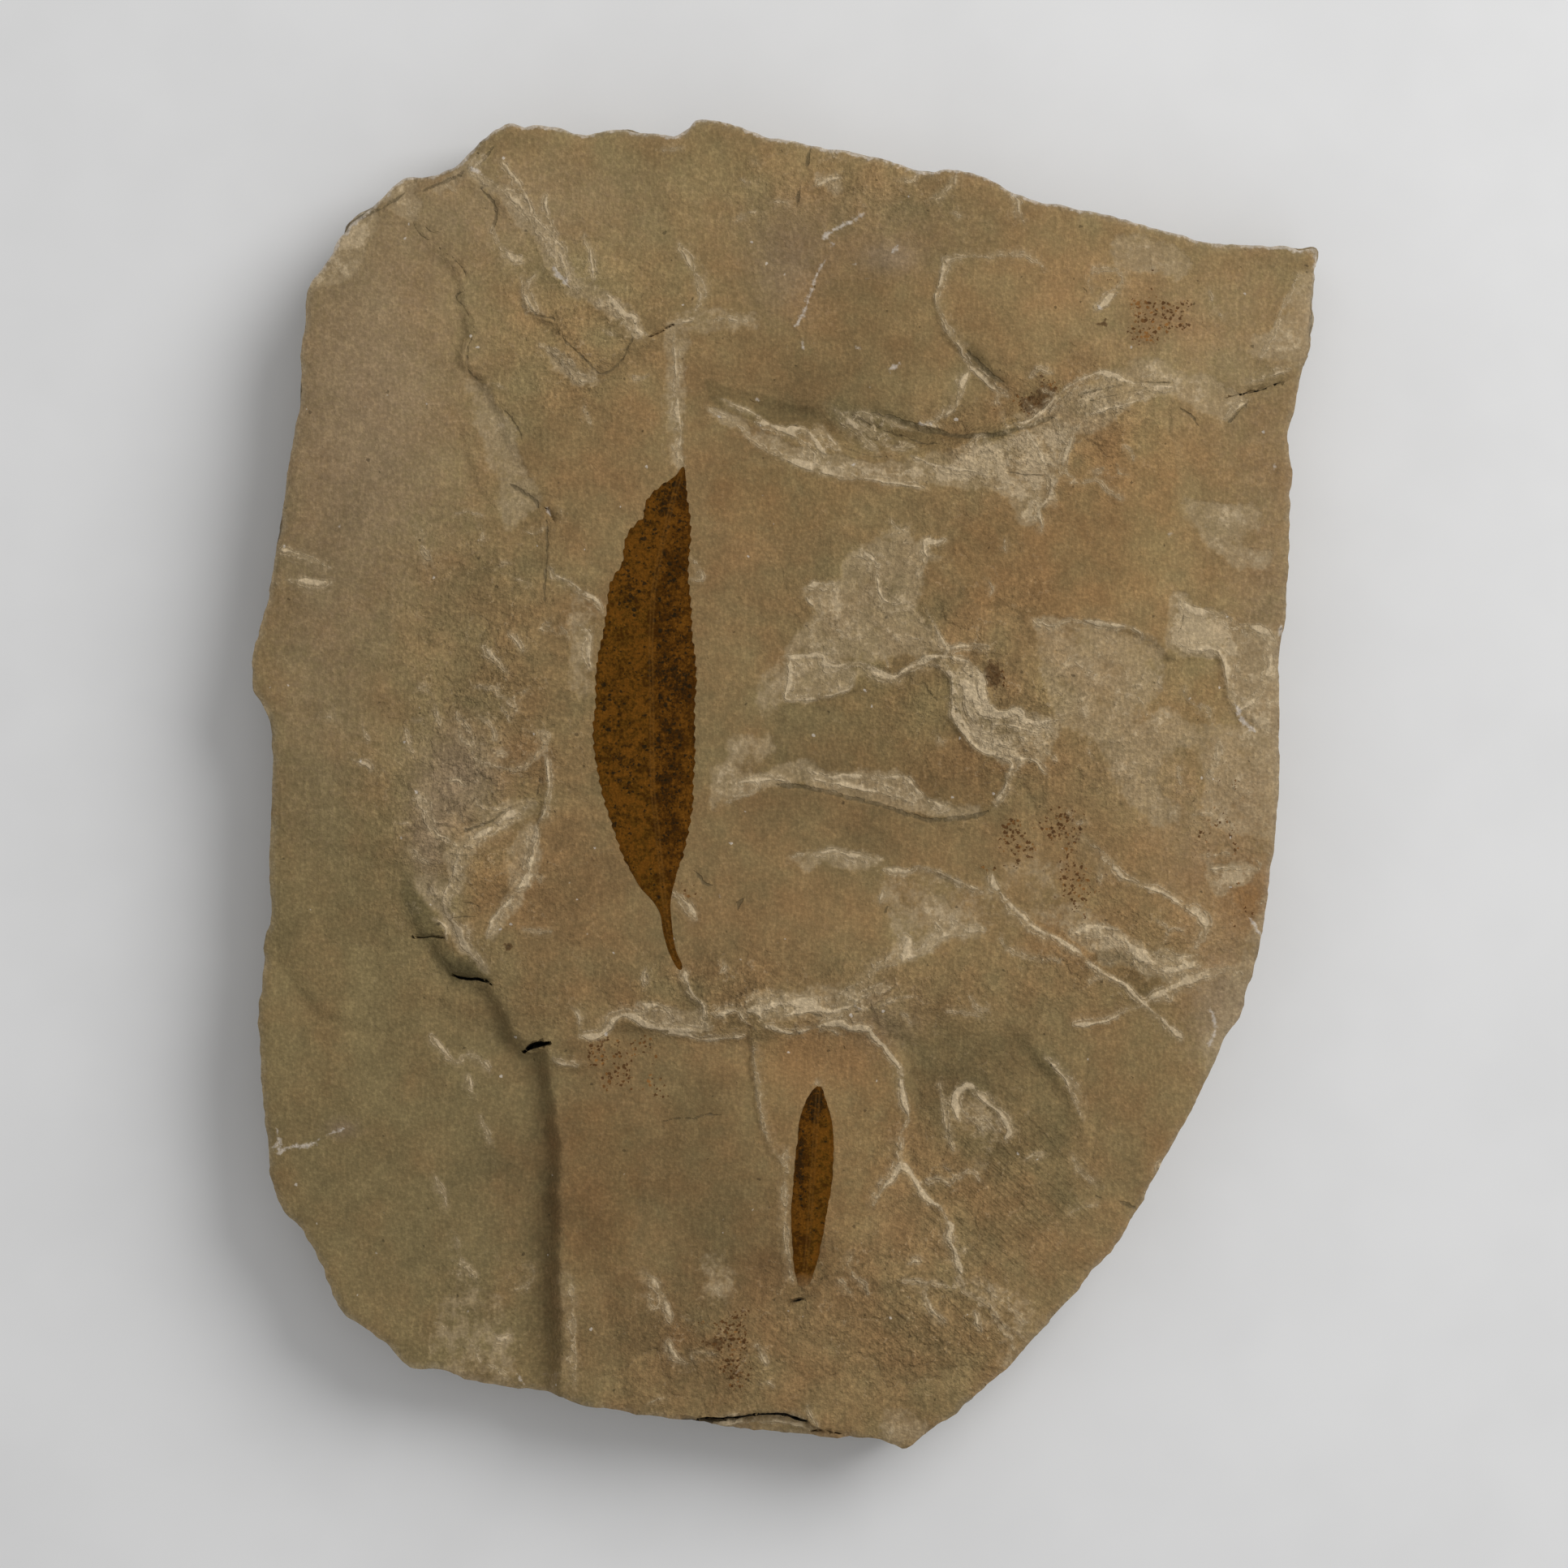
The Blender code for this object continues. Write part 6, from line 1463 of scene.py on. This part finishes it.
# %% [markdown]
# ## Shale
# The rock's colour starts as a mix of an olive and a reddish brown, and every painted mark then lies over
# it in the order in which it came about: stains, torn sheets, rust, joints, pale edges, scratches, cracks.
# Some stains, the shade sheets and some dark strokes are painted shade, the black of the cracks is painted
# shade inside them, and the white of the far rim is a painted highlight.
# Fine streaks run down to the right over the ground that is combed. They are noise that is stretched five
# times and turned. Grain comes last, over everything. Dry shale has next to no gloss.

# %% Colours of the rock
OLIVE_SHALE = (0.206, 0.155, 0.072, 1)
RED_SHALE = (0.224, 0.133, 0.058, 1)
ORANGE_SHALE = (0.258, 0.142, 0.056, 1)
DULL_SHALE = (0.222, 0.158, 0.094, 1)
PALE_SHALE = (0.325, 0.246, 0.144, 1)
BRUISED_EDGE = (0.500, 0.392, 0.248, 1)
# Dark joints, and painted shade along the feet of ledges and in the hollow.
JOINT_DIRT_AND_SHADE = (0.080, 0.062, 0.033, 1)
RUST_BROWN = (0.072, 0.029, 0.008, 1)
RUST_ORANGE = (0.240, 0.105, 0.026, 1)
BLOT_BROWN = (0.078, 0.041, 0.016, 1)
# Chalk scratches, and the painted highlight of the far rim.
CHALK_DUST_AND_HIGHLIGHT = (0.500, 0.440, 0.370, 1)
# Black specks, and painted shade inside the open cracks.
SPECK_BLACK_AND_CRACK_SHADE = (0.010, 0.008, 0.005, 1)
SIDE_SHALE = (0.300, 0.255, 0.185, 1)
# The shade sheet colour is painted shade, for the hollow and the feet of ledges.
WARM_SHEET, GREY_SHEET, SHADE_SHEET = (0.96, 0.93, 0.89, 1), (0.85, 0.86, 0.85, 1), (0.68, 0.70, 0.68, 1)
print("the bruised edges are", round(BRUISED_EDGE[1] / OLIVE_SHALE[1], 1), "times as light as the rock")


# %% How each finish starts and ends
def new_material(name, roughness, gloss):
    """The place is in millimetres, so that noise can be as wide in millimetres as it says."""
    material = bpy.data.materials.new(name)
    material.use_nodes = True
    tree = material.node_tree
    shader = tree.nodes["Principled BSDF"]
    shader.inputs["Roughness"].default_value = roughness
    shader.inputs["Specular IOR Level"].default_value = gloss
    place = add(tree, "ShaderNodeTexCoord").outputs["Object"]
    place = add(tree, "ShaderNodeVectorMath", {0: place, "Scale": 1000.0}, operation="SCALE").outputs[0]
    return material, tree, shader, place


def painted(tree, name):
    return add(tree, "ShaderNodeAttribute", attribute_name=name).outputs["Fac"]


def two_tears(tree, place, wide, close):
    """A broad and a close noise, each with some of the other in it, and the place pushed about by them."""
    broad, tight = cloud(tree, place, wide, 4.0, 0.66), cloud(tree, place, close, 3.0, 0.68)
    push = add(tree, "ShaderNodeCombineXYZ", {0: tight, 1: broad, 2: broad}).outputs[0]
    push = {0: push, 1: (0.9, 0.9, 0.9), 2: place}
    pushed = add(tree, "ShaderNodeVectorMath", push, operation="MULTIPLY_ADD").outputs[0]
    mixes = calc(tree, "MULTIPLY_ADD", tight, 0.4, broad), calc(tree, "MULTIPLY_ADD", broad, 0.4, tight)
    return *mixes, pushed


def finished(tree, shader, colour, relief, roughness):
    """Colour, relief in millimetres and roughness go into the material."""
    bump = add(tree, "ShaderNodeBump", {"Strength": 1.0, "Distance": MM, "Height": relief})
    for value, socket in ((colour, "Base Color"), (bump.outputs[0], "Normal"), (roughness, "Roughness")):
        tree.links.new(value, shader.inputs[socket])


# %% The painted marks, two noises and the grain
MARKS = (
    "tone", "warmth", "pale_area", "warm_area", "grey_area", "shade_area", "rust", "dark", "pale", "chalk_and_highlight",
    "crack", "flaky", "side", "lie", "blot", "dull", "combed"
)
shale, tree, shader, place = new_material("Shale", 0.9, 0.05)
mark = {name: painted(tree, name) for name in MARKS}
wide_tear, close_tear, pushed = two_tears(tree, place, 2.8, 0.75)
coarseness = calc(tree, "MULTIPLY_ADD", mark["flaky"], 0.25, 0.50)
grain = placed(tree, sandy, Place=place, Size=0.42, Strength=coarseness)
sheets = placed(tree, steps, Lie=mark["lie"], Noise=wide_tear)
print("marks:", len(mark))

# %% Ground colour: olive to red, greyer sheets, streaks and clouds
STREAK_TURN = radians(-42)
hue = calc(tree, "MULTIPLY_ADD", wide_tear, 0.45, mark["warmth"])
colour = tinted(tree, between(tree, hue, 0.0, 1.0), OLIVE_SHALE, RED_SHALE)
colour = tinted(tree, between(tree, hue, 1.4, 1.8), colour, ORANGE_SHALE)
dull = calc(tree, "MULTIPLY_ADD", close_tear, 0.6, calc(tree, "MULTIPLY", mark["dull"], 0.75))
colour = tinted(tree, between(tree, dull, 0.0, 1.0), colour, DULL_SHALE)
turned = {"Vector": place, "Rotation": (0.0, 0.0, STREAK_TURN), "Scale": (5.0, 1.0, 1.0)}
turned = add(tree, "ShaderNodeMapping", turned, vector_type="TEXTURE").outputs[0]
streaks = calc(tree, "MULTIPLY", cloud(tree, turned, 1.3, 4.0, 0.6), mark["combed"])
cloudy = calc(tree, "MULTIPLY_ADD", sheets["Tone"], 0.16, calc(tree, "MULTIPLY", wide_tear, 0.42))
cloudy = calc(tree, "MULTIPLY_ADD", streaks, 0.24, cloudy)
cloudy = calc(tree, "MULTIPLY_ADD", close_tear, 0.25, cloudy)
light = calc(tree, "ADD", mark["tone"], 1.0)
light = calc(tree, "MULTIPLY_ADD", cloudy, calc(tree, "ADD", mark["flaky"], 0.3), light)
colour = shaded(tree, colour, light)
print("nodes so far:", len(tree.nodes))

# %% Torn sheets of another tone, and sheets of painted shade
areas, patchy = {}, calc(tree, "MULTIPLY_ADD", wide_tear, 1.1, 0.52)
for name, cut, soft, share, second, blend in (
    ("warm_area", 0.45, 0.22, 0.70, WARM_SHEET, "MULTIPLY"),
    ("grey_area", 0.45, 0.26, 0.70, GREY_SHEET, "MULTIPLY"),
    ("pale_area", 0.50, 0.24, patchy, PALE_SHALE, "MIX"),
    # painted shade: the shade sheets darken the hollow and the feet of ledges
    ("shade_area", 0.48, 0.20, 0.80, SHADE_SHEET, "MULTIPLY"),
):
    areas[name] = ragged_mask(tree, mark[name], wide_tear, 1.5, cut, soft)
    colour = laid(tree, colour, second, areas[name], share, blend)
cream = ragged_mask(tree, mark["pale_area"], wide_tear, 2.4, 1.12, 0.20)
colour = laid(tree, colour, BRUISED_EDGE, cream, 0.5)
print("sheets of another tone:", list(areas))

# %% Rust and dark spots
stain = ragged_mask(tree, mark["rust"], wide_tear, 1.2, 0.55, 0.4)
colour = laid(tree, colour, RUST_BROWN, stain, 0.10)
clusters = ragged_mask(tree, mark["rust"], wide_tear, 2.6, 0.52, 0.20)
rusty = placed(tree, crumbs, Place=pushed, Size=0.44, Amount=calc(tree, "MULTIPLY", clusters, 1.1))
rust_tone = tinted(tree, between(tree, rusty["Shade"], 0.5, 1.1), RUST_BROWN, RUST_ORANGE)
colour = laid(tree, colour, rust_tone, rusty["Mask"], 0.85)
blot = ragged_mask(tree, mark["blot"], close_tear, 1.2, 0.48, 0.14)
colour = laid(tree, colour, BLOT_BROWN, blot, 0.80)
print("nodes so far:", len(tree.nodes))

# %% Joints, painted shade lines and bruised edges
# Painted shade: the dark strokes darken joints and also stand for shade along ledges and in the hollow.
joint_and_shade = ragged_mask(tree, mark["dark"], close_tear, 0.55, 0.53, 0.09)
colour = laid(tree, colour, JOINT_DIRT_AND_SHADE, joint_and_shade, 0.58)
step_edge = calc(tree, "MULTIPLY", sheets["Edge"], between(tree, close_tear, 0.0, 0.1))
step_edge = calc(tree, "MULTIPLY", step_edge, mark["flaky"])
colour = laid(tree, colour, BRUISED_EDGE, step_edge, 0.24)
halo = ragged_mask(tree, mark["pale"], wide_tear, 0.9, 0.36, 0.24)
colour = laid(tree, colour, PALE_SHALE, halo, 0.6)
core = ragged_mask(tree, mark["pale"], wide_tear, 0.35, 0.54, 0.06)
lines = placed(tree, torn_lines, Level=mark["pale"], Noise=wide_tear, Break=close_tear, Tear=0.6, Lines=3.6)
lines = calc(tree, "MULTIPLY", lines["Mask"], 0.45)
bruise = calc(tree, "MAXIMUM", calc(tree, "MULTIPLY", core, 0.78), lines)
colour = tinted(tree, bruise, colour, BRUISED_EDGE)
print("nodes so far:", len(tree.nodes))

# %% Scratches and the painted highlight of the far rim, loose specks, and cracks painted black as shade
# Painted highlight: this mark also holds the white rim at the far end, besides the chalk scratches.
dust_and_highlight = ragged_mask(tree, mark["chalk_and_highlight"], close_tear, 1.0, 0.52, 0.16)
specks = placed(tree, crumbs, Place=pushed, Size=0.45, Amount=0.005)
white = calc(tree, "MULTIPLY", specks["Mask"], calc(tree, "GREATER_THAN", specks["Shade"], 0.7))
colour = laid(tree, colour, CHALK_DUST_AND_HIGHLIGHT, calc(tree, "MAXIMUM", dust_and_highlight, white), 0.72)
black = calc(tree, "MULTIPLY", specks["Mask"], calc(tree, "LESS_THAN", specks["Shade"], 0.6))
# Painted shade: open cracks are painted black as the shade inside them.
crack_shade = ragged_mask(tree, mark["crack"], close_tear, 0.15, 0.50, 0.05)
black = calc(tree, "MAXIMUM", calc(tree, "MULTIPLY", black, 0.5), crack_shade)
colour = tinted(tree, black, colour, SPECK_BLACK_AND_CRACK_SHADE)
print("nodes so far:", len(tree.nodes))

# %% The broken side, its layers, and the relief too fine for the mesh
layers = cloud(tree, stretched(tree, place, (0.05, 0.05, 1.7)), 1.0, 4.0, 0.7)
side = shaded(tree, SIDE_SHALE, between(tree, layers, -0.3, 0.3, 0.55, 1.35))
side = tinted(tree, between(tree, wide_tear, -0.2, 0.2, 0.1, 0.7), side, colour)
colour = tinted(tree, mark["side"], colour, side)
colour = shaded(tree, colour, grain["Tone"])
relief = calc(tree, "MULTIPLY", grain["Height"], 0.05)
uneven = calc(tree, "MULTIPLY_ADD", wide_tear, 0.55, calc(tree, "MULTIPLY", sheets["Height"], 0.06))
uneven = calc(tree, "MULTIPLY_ADD", streaks, 0.80, uneven)
relief = calc(tree, "MULTIPLY_ADD", uneven, calc(tree, "ADD", mark["flaky"], 0.15), relief)
relief = calc(tree, "MULTIPLY_ADD", calc(tree, "SUBTRACT", bruise, joint_and_shade), 0.10, relief)
relief = calc(tree, "MULTIPLY_ADD", areas["pale_area"], -0.09, relief)
relief = calc(tree, "MULTIPLY_ADD", calc(tree, "MULTIPLY", layers, mark["side"]), 0.5, relief)
finished(tree, shader, colour, relief, between(tree, wide_tear, -0.3, 0.3, 0.82, 0.96))
slab.data.materials.append(shale)
print("shale nodes:", len(tree.nodes))

# %% [markdown]
# ## Leaf films
# The carbon is orange-brown where it is thin and nearly black where it is thick, which is mostly in small
# specks and in one half of the big leaf. The midrib is a paler double line, and the margin is a little
# darker. The narrow leaf fades into the rock at its stalk end.

# %% Colours of the films
THIN_FILM = (0.122, 0.047, 0.0050, 1)
OLIVE_FILM = (0.094, 0.054, 0.0060, 1)
THICK_FILM = (0.052, 0.019, 0.0022, 1)
FILM_SPECK = (0.014, 0.0095, 0.004, 1)
RIB_FILM = (0.150, 0.068, 0.014, 1)


# %% The finish of both films
def film_finish(name, thick_side, fade_low, fade_high):
    material, tree, shader, place = new_material(name, 0.8, 0.02)
    depth, rib, vein, crowd = (painted(tree, label) for label in ("depth", "rib", "vein", "specks"))
    blotch, mottle, pushed = two_tears(tree, place, 2.4, 0.5)
    thick = calc(tree, "MULTIPLY_ADD", blotch, 1.9, calc(tree, "MULTIPLY_ADD", mottle, 2.4, 0.34))
    thick = calc(tree, "ADD", thick, between(tree, rib, -1.4 * thick_side, 1.6 * thick_side, 0.0, 0.22))
    thick = calc(tree, "MULTIPLY_ADD", crowd, 0.35, thick)
    hue = calc(tree, "MULTIPLY_ADD", mottle, 0.8, blotch)
    colour = tinted(tree, between(tree, hue, -0.12, 0.24), THIN_FILM, OLIVE_FILM)
    colour = tinted(tree, between(tree, thick, 0.0, 1.0), colour, THICK_FILM)
    colour = laid(tree, colour, THICK_FILM, vein, 0.30)
    crowded = between(tree, blotch, -0.14, 0.12, 0.55, 1.2)
    crowded = calc(tree, "MULTIPLY", calc(tree, "ADD", crowd, 0.05), crowded)
    for size, share in ((0.36, 0.6), (0.62, 0.36)):
        amount = calc(tree, "MULTIPLY", crowded, share)
        spots = placed(tree, crumbs, Place=pushed, Size=size, Amount=amount)["Mask"]
        colour = laid(tree, colour, FILM_SPECK, spots, 0.85)
    patches = ragged_mask(tree, crowded, mottle, 2.6, 0.78, 0.24)
    colour = laid(tree, colour, FILM_SPECK, patches, 0.55)
    beside_rib = calc(tree, "ABSOLUTE", calc(tree, "SUBTRACT", calc(tree, "ABSOLUTE", rib), 0.2))
    colour = laid(tree, colour, RIB_FILM, between(tree, beside_rib, 0.2, 0.04), 0.28)
    colour = tinted(tree, between(tree, depth, 0.6, 0.05, 0.0, 0.34), colour, THICK_FILM)
    up_the_plate = add(tree, "ShaderNodeSeparateXYZ", {0: place}).outputs[1]
    torn_end = calc(tree, "MULTIPLY_ADD", blotch, 2.0, up_the_plate)
    colour = tinted(tree, between(tree, torn_end, fade_high, fade_low, 0.0, 0.8), colour, RED_SHALE)
    grain = placed(tree, sandy, Place=place, Size=0.28, Strength=0.62)
    colour = shaded(tree, colour, grain["Tone"])
    relief = calc(tree, "MULTIPLY_ADD", grain["Height"], 0.035, calc(tree, "MULTIPLY", blotch, 0.12))
    finished(tree, shader, colour, relief, between(tree, blotch, -0.2, 0.2, 0.65, 0.82))
    return material


large_leaf.data.materials.append(film_finish("Large leaf film", -1.0, -60.0, -55.0))
small_leaf.data.materials.append(film_finish("Small leaf film", 1.0, -62.4, -59.8))
print("materials:", [material.name for material in bpy.data.materials])

# %% [markdown]
# ## Floor, light and camera
# The plate was taken from straight above, as on a copy stand. A long lens over its middle gives that
# picture. One soft lamp from the upper right leaves the left-facing ledges in shade, and a pale world
# fills the rest.

# %% Floor
HALF = 1.5
floor_mesh = bpy.data.meshes.new("floor")
floor_corners = [(-HALF, -HALF, 0), (HALF, -HALF, 0), (HALF, HALF, 0), (-HALF, HALF, 0)]
floor_mesh.from_pydata(floor_corners, [], [(0, 1, 2, 3)])
floor = bpy.data.objects.new("floor", floor_mesh)
bpy.context.scene.collection.objects.link(floor)
paper, tree, shader, place = new_material("Pale paper", 0.9, 0.2)
soft = grey(tree, between(tree, cloud(tree, place, 30.0, 3.0), -0.2, 0.2, 0.70, 0.73))
tree.links.new(soft, shader.inputs["Base Color"])
floor_mesh.materials.append(paper)
print("floor:", 2 * HALF, "m across")

# %% Light
KEY_PLACE, KEY_SIZE, KEY_POWER, ROOM_LIGHT = (0.62, 0.48, 0.62), 0.75, 7.6, 0.5


def soft_lamp(name, place, aim, size, power):
    lamp = bpy.data.lights.new(name, "AREA")
    lamp.shape, lamp.size, lamp.energy = "DISK", size, power
    made = bpy.data.objects.new(name, lamp)
    made.location = place
    made.rotation_euler = (Vector(aim) - Vector(place)).to_track_quat("-Z", "Y").to_euler()
    bpy.context.scene.collection.objects.link(made)


soft_lamp("key lamp", KEY_PLACE, (0.0, 0.0, 0.0), KEY_SIZE, KEY_POWER)
world = bpy.data.worlds.new("Pale room")
world.use_nodes = True
background = world.node_tree.nodes["Background"].inputs
background["Color"].default_value = (1.0, 1.0, 1.0, 1.0)
background["Strength"].default_value = ROOM_LIGHT
bpy.context.scene.world = world
bpy.context.scene.view_settings.view_transform = "Standard"
print("lamps:", len(bpy.data.lights))

# %% Camera
FRAME_WIDTH = 193.2 * MM
lens = bpy.data.cameras.new("copy camera")
lens.lens, lens.sensor_width = 120.0, 36.0
camera = bpy.data.objects.new("copy camera", lens)
camera.location = (-0.1 * MM, 0.05 * MM, TOP * MM + FRAME_WIDTH * lens.lens / lens.sensor_width)
bpy.context.scene.collection.objects.link(camera)
bpy.context.scene.camera = camera
print("camera height:", camera.location.z)

# %% Update the scene at the end
bpy.context.view_layer.update()
